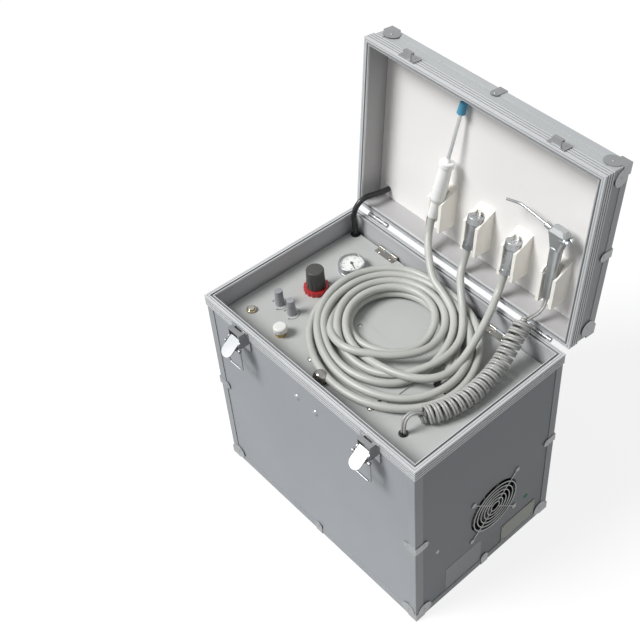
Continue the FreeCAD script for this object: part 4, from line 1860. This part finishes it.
def mains_inlet():
    """The mains socket plate on the rear wall, with its three blades and a round foot-switch socket."""
    width, height, sheet = INLET
    body_width, body_height, body_depth = INLET_BODY
    x, z = inlet_centre(0).x, inlet_centre(0).z
    face = OUT_Y + sheet
    plate = block(x - width / 2, x + width / 2, OUT_Y, face, z - height / 2, z + height / 2)
    left, right, low, high = x - body_width / 2, x + body_width / 2, z - body_height / 2, z + body_height / 2
    body = block(left, right, OUT_Y - body_depth, OUT_Y, low, high)
    socket_width, socket_height, socket_depth = INLET_SOCKET
    socket_z, floor_y = z + INLET_SOCKET_UP, face - socket_depth
    half = socket_width / 2
    socket = block(x - half, x + half, floor_y, face + 1, socket_z, socket_z + socket_height)
    pedal_place = (x, face - PEDAL_SOCKET_DEPTH, z - PEDAL_SOCKET_DROP)
    pedal = rod(pedal_place, Y, PEDAL_SOCKET_RADIUS, PEDAL_SOCKET_DEPTH + 1)
    blade_width, blade_height, blade_length = INLET_BLADE
    pieces = [joined([plate, body]).cut(socket).cut(pedal)]
    for way, lift in INLET_BLADE_PLACES:
        left, low = x + way - blade_width / 2, socket_z + lift
        tip = floor_y + blade_length
        pieces.append(block(left, left + blade_width, floor_y, tip, low, low + blade_height))
    for way in (-1, 1):
        place = (x + way * (width / 2 - INLET_SCREW_INSET), face, z)
        pieces.append(dome(place, Y, INLET_SCREW_RADIUS, SCREW_HEAD_HEIGHT))
    return joined(pieces)


# ---- nodes -------------------------------------------------------------------------------------------------
NODES = {
    "case_boards": case_boards,
    "base_rim": base_rim,
    "base_edges": base_edges,
    "base_fittings": base_fittings,
    "rubber_feet": rubber_feet,
    "lid_hinge_fixed": lid_hinge_fixed,
    "lid_hinge_leaves": lid_hinge_leaves,
    "latch_brackets": latch_brackets,
    "latch_lever_left": lambda: latch_lever(-LATCH_X),
    "latch_lever_right": lambda: latch_lever(LATCH_X),
    "latch_bail_left": lambda: latch_bail(-LATCH_X),
    "latch_bail_right": lambda: latch_bail(LATCH_X),
    "lid_boards": lid_boards,
    "lid_rim": lid_rim,
    "lid_edges": lid_edges,
    "lid_fittings": lid_fittings,
    "lid_liner": lid_liner,
    "instrument_holders": instrument_holders,
    "handle_mounts": handle_mounts,
    "handle_bow": handle_bow,
    "handle_grip": handle_grip,
    "scaler_handpiece": scaler_handpiece,
    "scaler_tip": scaler_tip,
    "turbine_couplings": turbine_couplings,
    "syringe_body": syringe_body,
    "syringe_nozzle": syringe_nozzle,
    "syringe_air_button": lambda: syringe_button(0),
    "syringe_water_button": lambda: syringe_button(1),
    "control_panel": control_panel,
    "panel_seat": panel_seat,
    "panel_fittings": panel_fittings,
    "bottle_hatch": bottle_hatch,
    "start_button": start_button,
    "scaler_power_knob": lambda: small_knob(0),
    "scaler_water_knob": lambda: small_knob(1),
    "water_valve_knob": water_valve_knob,
    "regulator_ring": regulator_ring,
    "regulator_knob": regulator_knob,
    "pressure_gauge": pressure_gauge,
    "gauge_needle": gauge_needle,
    "lift_knob": lift_knob,
    "hose_coil": hose_coil,
    "scaler_hose": scaler_hose,
    "turbine_hose_1": lambda: turbine_hose(1),
    "turbine_hose_2": lambda: turbine_hose(2),
    "syringe_cord_lead": syringe_cord_lead,
    "syringe_cord_curl": syringe_cord_curl,
    "syringe_cord_tail": syringe_cord_tail,
    "lid_cable": lid_cable,
    "fan_guard": fan_guard,
    "fan_housing": fan_housing,
    "fan_rotor": fan_rotor,
    "mains_inlet": mains_inlet,
    "compressor_block": compressor_block,
    "compressor_shaft": compressor_shaft,
    "compressor_pistons": compressor_pistons,
    "air_tank": air_tank,
    "water_bottle": water_bottle,
    "valve_manifold": valve_manifold,
    "scaler_driver": scaler_driver,
}


def main():
    os.makedirs("parts", exist_ok=True)
    for node, build in NODES.items():
        shape = build()
        if not shape.isValid():
            print("NOT VALID", node)
        shape.exportStep(os.path.join("parts", node + ".step"))
    print(len(NODES), "nodes")


main()
